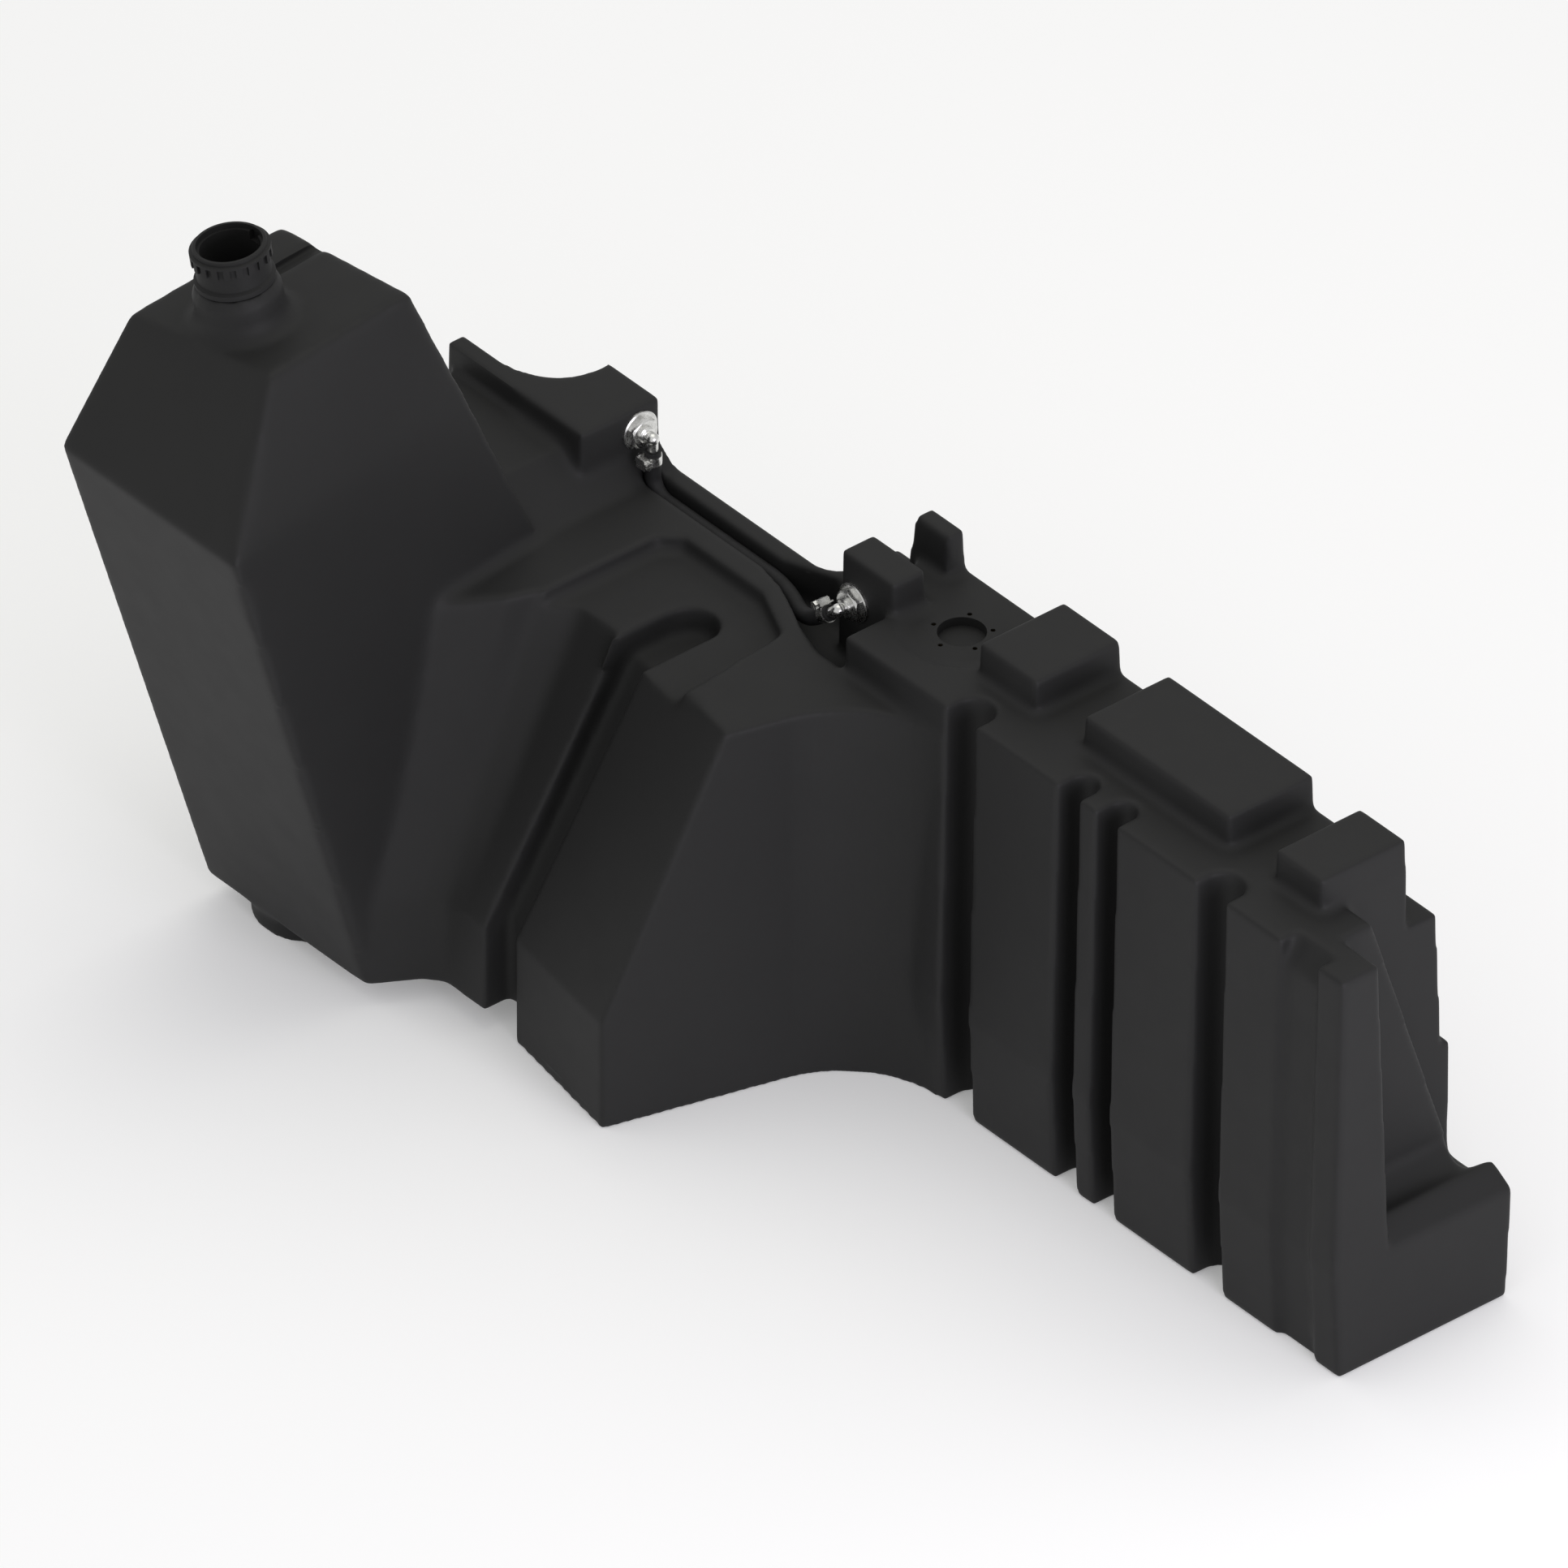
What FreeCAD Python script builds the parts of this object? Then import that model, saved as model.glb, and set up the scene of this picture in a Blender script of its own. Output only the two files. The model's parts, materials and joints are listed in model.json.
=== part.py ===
import FreeCAD, Part
import Sketcher
import math
import os
import re

from FreeCAD import Placement, Rotation, Vector

# Rotationally moulded fuel tank. Lengths are millimetres, +Z up.
# The datum of the drawing is the free end (x runs towards the filler tower as negative numbers)
# and the front of the side tank (y to the rear). The frame's origin is on the floor plane,
# straight below the middle of the level sender's flange, so every form is shifted by
# sender_from_end and sender_from_front.

doc = FreeCAD.newDocument("fuel_tank")
sheet = doc.addObject("Spreadsheet::Sheet", "sizes")

driving_sizes = [
    ("side_length", 560, "side tank, from its free end to where the middle section begins"),
    ("tank_depth", 653, "from the tower's front to the rear of the side tank"),
    ("tank_height", 756.3, "from the floor to the filler's lip"),
    ("wall", 6, "moulded wall"),
    ("parting", 112, "height of the mould's parting line, where the walls are widest"),
    ("low_draft", 6, "how far the walls flare from the floor to the parting line"),
    ("high_draft", 8, "how far they close again up to the deck"),
    ("sender_from_front", 88, "sender axis from the front of the side tank"),
    ("deck", 421, "height of the side tank's deck"),
    ("pad_top", 453, "height of the pads and blocks"),
    ("side_back", 152, "depth of the side tank at the deck"),
    ("bulge_back", 190, "depth of the rear bulge"),
    ("bulge_top", 360, "height of the rear bulge"),
    ("foot_back", 191, "depth of the foot at the free end"),
    ("strap_groove_width", 38, "wide grooves for the straps"),
    ("strap_groove_depth", 36, "depth of the wide grooves"),
    ("hose_groove_width", 27, "narrow grooves"),
    ("hose_groove_depth", 34, "depth of the narrow grooves"),
    ("strap_one", 510, "middle of the first strap groove"),
    ("strap_two", 176, "middle of the second strap groove"),
    ("hose_one", 366.5, "middle of the first narrow groove"),
    ("hose_two", 315.5, "middle of the second narrow groove"),
    ("step_left", 83, "shallow step before the end post"),
    ("step_right", 35, "end of that step"),
    ("step_depth", 6, "depth of the shallow step"),
    ("step_run", 16, "how far the head of that step slopes back"),
    ("step_drop", 28, "height of that slope"),
    ("post_top_depth", 41, "end post, depth at the deck"),
    ("post_low_depth", 58, "end post, depth at the ledge"),
    ("ledge_crest", 22, "rise of the ledge's crest above the parting line"),
    ("ledge_run", 24, "crest from the end face"),
    ("recess_drop", 5, "floor of that recess below the parting line"),
    ("recess_depth", 48, "recess behind the end post, from the end face"),
    ("rear_recess_depth", 90, "deeper rear part of the recess"),
    ("pad_one_left", 549, "first pad, far side"),
    ("pad_one_right", 473, "first pad, near side"),
    ("pad_two_left", 409, "second pad, far side"),
    ("pad_two_right", 215, "second pad, near side"),
    ("pad_three_left", 153, "third pad, far side"),
    ("pad_three_right", 92, "third pad, near side"),
    ("pad_front", 56, "front of the pads"),
    ("pad_flare", 5, "how far a pad's foot stands out past its top"),
    ("sender_pocket", 56, "radius of the shallow pocket round the sender"),
    ("sender_pocket_depth", 5, "depth of that pocket"),
    ("sender_recess_radius", 21.75, "round recess of the sender"),
    ("sender_recess_depth", 9, "its depth"),
    ("sender_pitch_radius", 27, "pitch radius of the five sender screws"),
    ("sender_first_angle", -15.4, "angle of the first screw"),
    ("middle_top", 387, "height of the middle section's top"),
    ("middle_back", 82, "rear edge of the middle section"),
    ("rear_cove", 30, "radius of that turn"),
    ("front_cove", 113, "large radius between the wedge and the side tank"),
    ("nose_y", 254, "nose of the wedge, ahead of the side tank"),
    ("wedge_left_y", 229, "its distance ahead of the side tank"),
    ("cove_start_y", 83, "its distance ahead of the side tank"),
    ("wedge_run", 118, "how far the wedge's slope runs back"),
    ("saddle_floor", 22, "underside of the saddle and the tower"),
    ("saddle_front", 240, "front of the saddle"),
    ("saddle_top_front", 93, "front of the saddle at its top"),
    ("channel_depth", 28, "depth of the channel between saddle and wedge"),
    ("channel_back", 21, "round rear end of the channel, ahead of the datum"),
    ("pocket_floor", 372, "floor of the shallow pocket in the middle section"),
    ("trough_front", 46, "hose trough, front edge"),
    ("trough_back", 63, "hose trough, rear edge"),
    ("trough_floor", 364.5, "hose trough, floor"),
    ("well_floor", 347, "floor of the well under the second fitting"),
    ("shelf_top", 430, "shelf between the tower and the block"),
    ("shelf_slope", 45, "run of the shelf's sloping end"),
    ("rear_join", 165, "front of the shelf and of the body behind the tower, both inside it"),
    ("shoulder_front", 11, "front of the block beside the tower, ahead of the datum"),
    ("shoulder_rim", 7, "rear of its thin rim"),
    ("shoulder_cove", 60, "radius of the cove that thins it"),
    ("block_front", 53, "its front"),
    ("block_back", 90, "its rear"),
    ("lug_front", 133, "rear lug, front"),
    ("heel_back", 201, "flat pad low on the rear, rear face"),
    ("heel_top", 218, "its top"),
    ("heel_foot", 30, "its underside"),
    ("heel_left", 230, "its far side"),
    ("ear_back", 100, "low rear ear, rear"),
    ("ear_top", 366, "low rear ear, top"),
    ("ear_height", 90, "low rear ear, height"),
    ("tower_foot_front", 295, "tower at its underside, front"),
    ("tower_foot_back_y", 75, "tower at its underside, rear"),
    ("tower_crease", 555, "height of the crease across the tower's front"),
    ("tower_crease_back_y", 146, "rear corner at the crease's height"),
    ("tower_cap_front", 332, "near front corner at that height"),
    ("tower_cap_back_y", 214, "near rear corner at that height"),
    ("filler_y", 320, "filler axis, ahead of the datum"),
    ("top_rise_x", 10.9, "rise of the sloping top for each 100 along x"),
    ("top_rise_y", 9.4, "rise of the sloping top for each 100 along y"),
    ("roof_groove_width", 15, "groove across the sloping top"),
    ("roof_groove_depth", 5, "its depth"),
    ("roof_groove_start", 60, "its start, behind the neck axis"),
    ("roof_hole_depth", 3.5, "small hole below the groove's floor"),
    ("roof_hole_radius", 1.8, "blind hole in that groove"),
    ("roof_hole_back", 88, "that hole, behind the neck axis"),
    ("roof_hole_side", 4, "that hole, from the middle of the groove"),
    ("stub_radius", 40, "lower collar of the neck stub"),
    ("stub_height", 33, "lower collar above the sloping top"),
    ("collar_radius", 37, "upper collar of the neck stub"),
    ("collar_height", 41, "upper collar above the sloping top"),
    ("stub_bore", 30, "bore of the neck stub"),
    ("fit_gap", 0.2, "radial clearance of parts that slip into each other"),
    ("seal_thickness", 2, "flat seals"),
    ("ring_height", 36, "neck ring above its seal"),
    ("ring_radius", 33, "neck ring, outside"),
    ("ring_bore", 27, "neck ring, bore"),
    ("band_radius", 36, "windowed band of the neck ring"),
    ("band_top", 4, "windowed band below the lip"),
    ("band_height", 12, "windowed band, height"),
    ("window_width", 5.5, "window, width"),
    ("window_height", 12, "window, height"),
    ("window_count", 20, "windows round the band"),
    ("mouth_bore", 29.5, "wider mouth of the neck ring"),
    ("mouth_depth", 5, "depth of the mouth"),
    ("spigot_length", 14, "spigot of the neck ring in the stub"),
    ("insert_radius", 3.6, "sender insert, outside"),
    ("insert_bore", 2.1, "sender insert, thread core"),
    ("insert_length", 8, "sender insert"),
    ("boss_y", 237, "sump boss, ahead of the datum"),
    ("boss_radius", 54, "sump boss"),
    ("drain_radius", 13, "drain insert, outside"),
    ("drain_thread", 8, "drain plug, shank"),
    ("drain_recess", 19, "round recess over the drain"),
    ("drain_recess_depth", 9, "its depth"),
    ("cam_width", 12, "cam notch in the neck ring"),
    ("cam_depth", 9, "cam notch below the mouth"),
    ("insert_cover", 1, "plastic over the sender inserts"),
    ("fitting_insert_radius", 12, "moulded-in insert of a vent fitting"),
    ("vent_bore", 2.6, "air way through a vent fitting"),
    ("screw_radius", 2.2, "clamp screw"),
    ("tower_fitting_y", 54, "first vent fitting, from the datum"),
    ("tower_fitting_z", 429.5, "first vent fitting, height"),
    ("deck_fitting_z", 407, "second vent fitting, height"),
    ("flange_radius", 18.75, "vent fitting flange"),
    ("flange_thickness", 3, "vent fitting flange"),
    ("hex_flats", 27, "vent fitting nut, across flats"),
    ("hex_height", 6.5, "vent fitting nut"),
    ("shank_radius", 8, "vent fitting shank"),
    ("elbow_reach", 18.5, "middle of the elbow from the wall"),
    ("elbow_radius", 5.5, "elbow tube"),
    ("barb_radius", 4, "hose barb"),
    ("hose_start", 13, "hose end from the middle of the elbow"),
    ("barb_length", 20, "barb inside the hose"),
    ("hose_radius", 7.5, "vent hose, outside"),
    ("hose_bore", 4, "vent hose, bore"),
    ("clamp_start", 3, "clamp from the end of the hose"),
    ("clamp_width", 9, "clamp band"),
    ("clamp_thickness", 0.9, "clamp band"),
    ("deck_leg_angle", 38, "droop of the second elbow's leg"),
    ("neck_rise", 83, "filler's lip above the tower's sloping top"),
    ("cap_drop", 36.3, "level at which the tower's upper corners are set, below the lip"),
    ("stub_skirt", 51, "skirt of the neck stub at the sloping top"),
    ("skirt_height", 13, "height of that skirt"),
]

# Distances along the tank beyond the start of its side section, so that they move with side_length.
stations = [
    ("sender_from_end", 50.5, "sender axis "),
    ("sender_deck_left", 106, "left edge of the sender's deck"),
    ("neck_in_left", 213, "where the rear edge turns towards the side tank"),
    ("nose_x", 127, "nose of the wedge"),
    ("wedge_left_x", 269, "left corner of the wedge"),
    ("cove_start_x", 81, "straight flank of the wedge ends"),
    ("cove_corner", 58.6, "where the flank would meet the front wall"),
    ("channel_left", 302.5, "channel between saddle and wedge, far side"),
    ("channel_right", 275, "its near side"),
    ("channel_top_left", 282, "its far side at the pocket floor"),
    ("channel_top_right", 230, "its near side at the pocket floor"),
    ("trough_start", 435.5, "hose trough, end by the tower"),
    ("trough_end", 240, "hose trough, end by the well"),
    ("shelf_edge", 424, "foot of the shelf's sloping end"),
    ("roof_groove", 565.5, "groove across the sloping top"),
    ("shoulder_left", 627, "block beside the tower, far end"),
    ("shoulder_right", 445.5, "block beside the tower, near end"),
    ("shoulder_cove_x", 575, "middle of that cove"),
    ("block_left", 171, "block of the second fitting, far side"),
    ("block_right", 101, "its near side"),
    ("lug_left", 167, "rear lug, far side"),
    ("lug_right", 123, "rear lug, near side"),
    ("ear_left", 378, "low rear ear, far side"),
    ("ear_right", 325, "low rear ear, near side"),
    ("tower_far", 616, "far wall of the filler tower"),
    ("tower_foot_near", 395, "tower at its underside, near side"),
    ("tower_foot_back_x", 403, "tower at its underside, rear corner"),
    ("tower_crease_near", 377, "crease, near side"),
    ("tower_crease_back_x", 434, "rear corner at the crease's height"),
    ("tower_cap_near", 463.5, "near front corner at that height"),
    ("tower_cap_back_x", 443.5, "near rear corner at that height"),
    ("filler_x", 531, "filler axis on the tower's top"),
    ("lid_span", 600, "span of the block that cuts the tower's sloping top"),
    ("lid_height", 200, "height of that block"),
    ("boss_x", 540, "sump boss"),
    ("hose_turn", 248, "corner of the hose towards the well"),
    ("deck_fitting_x", 153, "second vent fitting"),
]

# Sizes that follow from the main ones.
derived_sizes = {
    "filler_z": "(tank_height - neck_rise)",
    "tower_cap": "(tank_height - cap_drop)",
    "tower_crease_front": "(tank_depth - foot_back - low_draft)",
    "side_start": "side_length",
}
station_names = [alias for alias, _, _ in stations]


def fill_sheet():
    """Write each driving size into its own named cell."""
    for row, (alias, value, note) in enumerate(driving_sizes + stations, start=1):
        sheet.set("A%d" % row, alias)
        sheet.set("B%d" % row, str(value))
        sheet.set("C%d" % row, note)
        sheet.setAlias("B%d" % row, alias)
    doc.recompute()


def size(alias):
    value = float(sheet.get(alias))
    if alias in station_names:
        value += float(sheet.get("side_length"))
    return value


def linked(expression):
    """Turn plain size names into references to the sheet's cells."""
    def derived(found):
        name = found.group(0)
        if name in station_names:
            return "(side_length + %s)" % name
        return derived_sizes.get(name, name)

    words = r"\b[a-z][a-z_]*\b(?!\()"
    return re.sub(words, lambda found: "sizes." + found.group(0), re.sub(words, derived, expression))


def bind(obj, **properties):
    for name, expression in properties.items():
        obj.setExpression(name.replace("__", "."), linked(expression))
    return obj


def place(obj, x="0", y="0", z="0"):
    """Bind an object's place, given from the drawing's datum, in the frame."""
    obj.setExpression("Placement.Base.x", linked("sender_from_end + (%s)" % x))
    obj.setExpression("Placement.Base.y", linked("(%s) - sender_from_front" % y))
    obj.setExpression("Placement.Base.z", linked(z))
    return obj


def box(name, x, y, z):
    """A box between two bounds on each axis."""
    solid = doc.addObject("Part::Box", name)
    bind(solid, Length="(%s) - (%s)" % (x[1], x[0]), Width="(%s) - (%s)" % (y[1], y[0]),
         Height="(%s) - (%s)" % (z[1], z[0]))
    return place(solid, x[0], y[0], z[0])


def cylinder(name, x, y, radius, z):
    solid = doc.addObject("Part::Cylinder", name)
    bind(solid, Radius=radius, Height="(%s) - (%s)" % (z[1], z[0]))
    return place(solid, x, y, z[0])


def flared_block(name, x, y, z, left="0", right="0", front="0", rear="0"):
    """A block whose foot stands out past its top by its own amount on each side."""
    solid = doc.addObject("Part::Wedge", name)
    solid.Placement.Rotation = Rotation(Vector(1, 0, 0), 90)
    bind(solid, Xmin="(%s) - (%s)" % (x[0], left), Xmax="(%s) + (%s)" % (x[1], right),
         X2min=x[0], X2max=x[1], Ymin=z[0], Ymax=z[1],
         Zmin="-(%s) - (%s)" % (y[1], rear), Zmax="-(%s) + (%s)" % (y[0], front),
         Z2min="-(%s)" % y[1], Z2max="-(%s)" % y[0])
    return place(solid)


def outline(name, points, z="0", rotation=None):
    """A closed polygon whose corners are bound to the sheet."""
    sketch = doc.addObject("Sketcher::SketchObject", name)
    if rotation:
        sketch.Placement.Rotation = rotation
    count = len(points)
    for index in range(count):
        angle = 2 * math.pi * index / count
        turn = 2 * math.pi * (index + 1) / count
        start = Vector(100 * math.cos(angle), 100 * math.sin(angle), 0)
        end = Vector(100 * math.cos(turn), 100 * math.sin(turn), 0)
        sketch.addGeometry(Part.LineSegment(start, end), False)
    for index in range(count):
        sketch.addConstraint(Sketcher.Constraint("Coincident", index, 2, (index + 1) % count, 1))
    for index, (x, y) in enumerate(points):
        across = sketch.addConstraint(Sketcher.Constraint("DistanceX", -1, 1, index, 1, 1.0 + index))
        sketch.setExpression("Constraints[%d]" % across, linked(x))
        along = sketch.addConstraint(Sketcher.Constraint("DistanceY", -1, 1, index, 1, 2.0 + index))
        sketch.setExpression("Constraints[%d]" % along, linked(y))
    return place(sketch, z=z)


def prism(name, points, z):
    """An upright prism on an outline."""
    solid = doc.addObject("Part::Extrusion", name)
    solid.Base = outline(name + "_outline", points, z[0])
    solid.DirMode = "Custom"
    solid.Dir = Vector(0, 0, 1)
    solid.Solid = True
    return bind(solid, LengthFwd="(%s) - (%s)" % (z[1], z[0]))


def sideways_prism(name, points, x):
    """A prism along x on an outline given as y and z."""
    solid = doc.addObject("Part::Extrusion", name)
    standing = Rotation(Vector(1, 1, 1), 120)
    sketch = outline(name + "_outline", points, "0", standing)
    sketch.setExpression("Placement.Base.x", linked("sender_from_end + (%s)" % x[0]))
    solid.Base = sketch
    solid.DirMode = "Custom"
    solid.Dir = Vector(1, 0, 0)
    solid.Solid = True
    return bind(solid, LengthFwd="(%s) - (%s)" % (x[1], x[0]))


def lengthways_prism(name, points, y):
    """A prism along y on an outline given as x and z."""
    solid = doc.addObject("Part::Extrusion", name)
    sketch = outline(name + "_outline", points, "0", Rotation(Vector(1, 0, 0), 90))
    sketch.setExpression("Placement.Base.y", linked("(%s) - sender_from_front" % y[1]))
    solid.Base = sketch
    solid.DirMode = "Custom"
    solid.Dir = Vector(0, -1, 0)
    solid.Solid = True
    return bind(solid, LengthFwd="(%s) - (%s)" % (y[1], y[0]))


def loft(name, levels):
    """A solid with straight sides through outlines at several heights."""
    solid = doc.addObject("Part::Loft", name)
    solid.Sections = [outline("%s_%d" % (name, index), points, z) for index, (z, points) in enumerate(levels)]
    solid.Solid = True
    solid.Ruled = True
    return solid


def fuse(name, shapes):
    solid = doc.addObject("Part::MultiFuse", name)
    solid.Shapes = shapes
    return solid


def cut(name, base, tool):
    solid = doc.addObject("Part::Cut", name)
    solid.Base = base
    solid.Tool = tool
    return solid


def common(name, first, second):
    solid = doc.addObject("Part::MultiCommon", name)
    solid.Shapes = [first, second]
    return solid


def filler_rotation():
    """The neck stands square on the tower's sloping top."""
    normal = Vector(-size("top_rise_x") / 100, -size("top_rise_y") / 100, 1)
    return Rotation(Vector(0, 0, 1), normal)


def place_on_filler(obj, distance="0"):
    """Set an object on the neck axis, a distance above the sloping top."""
    rotation = filler_rotation()
    axis = rotation.multVec(Vector(0, 0, 1))
    obj.Placement.Rotation = rotation
    return place(obj, *["%s + (%s) * (%.12f)" % (start, distance, axis[index])
                        for index, start in enumerate(("-filler_x", "-filler_y", "filler_z"))])


def side_tank(tag, inset):
    """Long narrow section: widest at the parting line, with a bulge along its rear."""
    body = loft("side_" + tag, [
        (height, [("-side_start - 40 + %s" % inset, "%s + %s" % (front, inset)),
                  ("-%s" % inset, "%s + %s" % (front, inset)),
                  ("-%s" % inset, "side_back - %s" % inset),
                  ("-side_start - 40 + %s" % inset, "side_back - %s" % inset)])
        for height, front in ((inset, "0"), ("parting", "0 - low_draft"),
                              ("deck - %s" % inset, "high_draft - low_draft"))])
    bulge = loft("bulge_" + tag, [
        (height, [("-side_start + %s" % inset, "side_back - 60"), ("-%s" % inset, "side_back - 60"),
                  ("-%s" % inset, "%s - %s" % (back, inset)),
                  ("-side_start + %s" % inset, "%s - %s" % (back, inset))])
        for height, back in ((inset, "foot_back"), ("parting", "foot_back + low_draft"),
                             ("bulge_top - %s" % inset, "bulge_back - 5"))])
    return [body, bulge]


def end_cuts(tag, grow):
    """Recess behind the end post, with the foot's ledge as its floor."""
    recess = loft("recess_" + tag, [
        (height, [("-recess_depth - (%s) - %s" % (deeper, grow), "%s - %s" % (front, grow)),
                  ("60", "%s - %s" % (front, grow)), ("60", "foot_back + 90"),
                  ("-recess_depth - (%s) - %s" % (deeper, grow), "foot_back + 90")])
        for height, deeper, front in (("parting - %s" % grow, "12", "post_low_depth"),
                                      ("deck + 60", "0", "post_top_depth"))])
    floor = "parting - %s" % grow
    ledge = lengthways_prism("ledge_" + tag, [
        ("60", "parting - 60"), (grow, floor), ("-ledge_run", "parting + ledge_crest - %s" % grow),
        ("-ledge_run * 2 - 1", floor + " - recess_drop"),
        ("-rear_recess_depth - 60", floor + " - recess_drop"),
        ("-rear_recess_depth - 60", "parting - 60")], ("0", "foot_back + 90"))
    rear = sideways_prism("rear_recess_" + tag, [
        ("post_top_depth + 17 - %s" % grow, "deck + 60"),
        ("post_low_depth + 112 - %s" % grow, "parting + 38 - %s" % grow),
        ("post_low_depth + 120", floor + " - recess_drop"), ("foot_back + 90", floor + " - recess_drop"),
        ("foot_back + 90", "deck + 60")], ("-rear_recess_depth - %s" % grow, "60"))
    return cut("end_recess_" + tag, fuse("end_cut_" + tag, [recess, rear]), ledge)


def grooves(tag, grow):
    """Upright strap and hose grooves with round inner ends, and the shallow step by the end post."""
    tools = []
    for index, (middle, width, depth) in enumerate((
            ("strap_one", "strap_groove_width", "strap_groove_depth"),
            ("hose_one", "hose_groove_width", "hose_groove_depth"),
            ("hose_two", "hose_groove_width", "hose_groove_depth"),
            ("strap_two", "strap_groove_width", "strap_groove_depth"))):
        name = "groove_%s_%d" % (tag, index)
        half = "%s / 2 + %s" % (width, grow)
        centre = "%s - %s / 2" % (depth, width)
        tools.append(box(name, ("-%s - (%s)" % (middle, half), "-%s + (%s)" % (middle, half)),
                         ("-60", centre), ("-40", "deck + 60")))
        tools.append(cylinder(name + "_end", "-%s" % middle, centre, half, ("-40", "deck + 60")))
    floor = "step_depth + %s" % grow
    tools.append(sideways_prism("step_" + tag, [
        ("-60", "-40"), (floor, "-40"), (floor, "0"), (floor + " - low_draft", "parting"),
        (floor + " - low_draft + high_draft", "deck - step_drop"),
        (floor + " - low_draft + high_draft + step_run", "deck"),
        (floor + " - low_draft + high_draft + step_run", "deck + 60"), ("-60", "deck + 60")],
        ("-step_left - %s" % grow, "-step_right + %s" % grow)))
    return tools


def pads(tag, inset):
    """Raised pads along the side tank's rear."""
    solids = []
    for number in ("one", "two", "three"):
        solids.append(flared_block("pad_%s_%s" % (number, tag),
                                   ("-pad_%s_left + %s" % (number, inset),
                                    "-pad_%s_right - %s" % (number, inset)),
                                   ("pad_front + %s" % inset, "side_back - %s" % inset),
                                   ("deck - 50", "pad_top - %s" % inset), "pad_flare", "pad_flare",
                                   "pad_flare"))
    return solids


def fitting_block(tag, inset):
    """Block whose upright front carries the second vent fitting."""
    return flared_block("block_" + tag, ("-block_left + %s" % inset, "-block_right - %s" % inset),
                        ("block_front + %s" % inset, "block_back - %s" % inset),
                        ("well_floor - 60", "pad_top - %s" % inset), "7", "2", "0", "4")


def rear_lug():
    """Solid lug at the rear of the sender's deck."""
    return flared_block("lug", ("-lug_left", "-lug_right"), ("lug_front", "side_back"),
                        ("middle_top - 20", "pad_top + 2"), "8", "8", "10")


def middle(tag, inset):
    """Middle section: the wedge with its sloping front, and the saddle that leads to the tower."""
    top = "middle_top - %s" % inset
    plan = prism("middle_" + tag, [
        ("-wedge_left_x - 16", "-wedge_left_y + 2 + %s" % inset),
        ("-nose_x - %s" % inset, "-nose_y + %s" % inset),
        ("-cove_corner - %s" % inset, "%s" % inset), ("-side_start + 60", "%s" % inset),
        ("-side_start + 60", "side_back - %s" % inset),
        ("-neck_in_left + %s" % inset, "side_back - %s" % inset),
        ("-neck_in_left + %s" % inset, "middle_back - %s" % inset),
        ("-wedge_left_x - 16", "middle_back - %s" % inset)],
        (inset, top))
    front_web = cut("front_web_" + tag,
                    box("front_web_box_" + tag,
                        ("-cove_start_x + 2 - %s" % inset, "-cove_start_x + front_cove - 4"),
                        ("-cove_start_y + %s" % inset, "10"), (inset, top)),
                    cylinder("front_web_round_" + tag, "-cove_start_x + front_cove - 4", "-front_cove",
                             "front_cove + %s" % inset, ("-20", "deck")))
    rear_web = cut("rear_web_" + tag,
                   box("rear_web_box_" + tag, ("-neck_in_left - rear_cove", "-neck_in_left + 10"),
                       ("middle_back - 10", "middle_back + rear_cove"), (inset, top)),
                   cylinder("rear_web_round_" + tag, "-neck_in_left - rear_cove", "middle_back + rear_cove",
                            "rear_cove + %s" % inset, ("-20", "deck")))
    saddle_low = saddle_outline(inset, ("tower_foot_front", "tower_foot_front", "saddle_front + 14",
                                        "saddle_front + 1",
                                        "saddle_front", "saddle_front"), (-45, 0, 25, 41, 60))
    saddle_high = saddle_outline(inset, ("saddle_top_front + 112", "saddle_top_front + 112",
                                         "saddle_top_front + 62",
                                         "saddle_top_front + 34", "saddle_top_front + 1", "saddle_top_front"),
                                 (-45, -9, 23, 32, 58))
    saddle = loft("saddle_" + tag, [("saddle_floor + %s" % inset, saddle_low), ("parting", saddle_low),
                                    (top, saddle_high)])
    rear = box("tower_rear_" + tag, ("-tower_far + %s" % inset, "-tower_foot_near - 30"),
               ("-rear_join + %s" % inset, "middle_back - %s" % inset), ("saddle_floor + %s" % inset, top))
    return [cut("wedge_" + tag, fuse("middle_all_" + tag, [plan, front_web, rear_web]), slope(tag, inset)),
            saddle, rear]


def saddle_outline(inset, fronts, shifts):
    """Plan of the saddle at one height: its front's distances ahead of the datum, and its corners along x."""
    across = ["-tower_foot_near + (%s)" % shift for shift in shifts] + ["-channel_right"]
    front = [(x, "-(%s) + %s" % (y, inset)) for x, y in zip(across, fronts)]
    rear = [(across[-1], "middle_back - %s" % inset), (across[0], "middle_back - %s" % inset)]
    return front + rear


def slope(tag, grow):
    """What is above the wedge's sloping front."""
    across = math.atan2(size("nose_y") - size("wedge_left_y"), size("wedge_left_x") - size("nose_x"))
    tool = doc.addObject("Part::Extrusion", "slope_" + tag)
    turned = Rotation(Vector(0, 0, 1), -math.degrees(across)).multiply(Rotation(Vector(1, 1, 1), 120))
    sketch = outline("slope_outline_" + tag, [
        ("-60", "parting"), ("%s" % grow, "parting"), ("wedge_run + %s" % grow, "middle_top"),
        ("wedge_run * 1.4 + %s" % grow, "parting + (middle_top - parting) * 1.4"),
        ("-60", "parting + (middle_top - parting) * 1.4")], "0", turned)
    place(sketch, "-wedge_left_x", "-wedge_left_y")
    tool.Base = sketch
    tool.DirMode = "Custom"
    direction = Vector(math.cos(across), -math.sin(across), 0)
    tool.Dir = direction
    tool.Solid = True
    bind(tool, LengthFwd="220")
    tool.setExpression("LengthRev", "40")
    return tool


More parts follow.
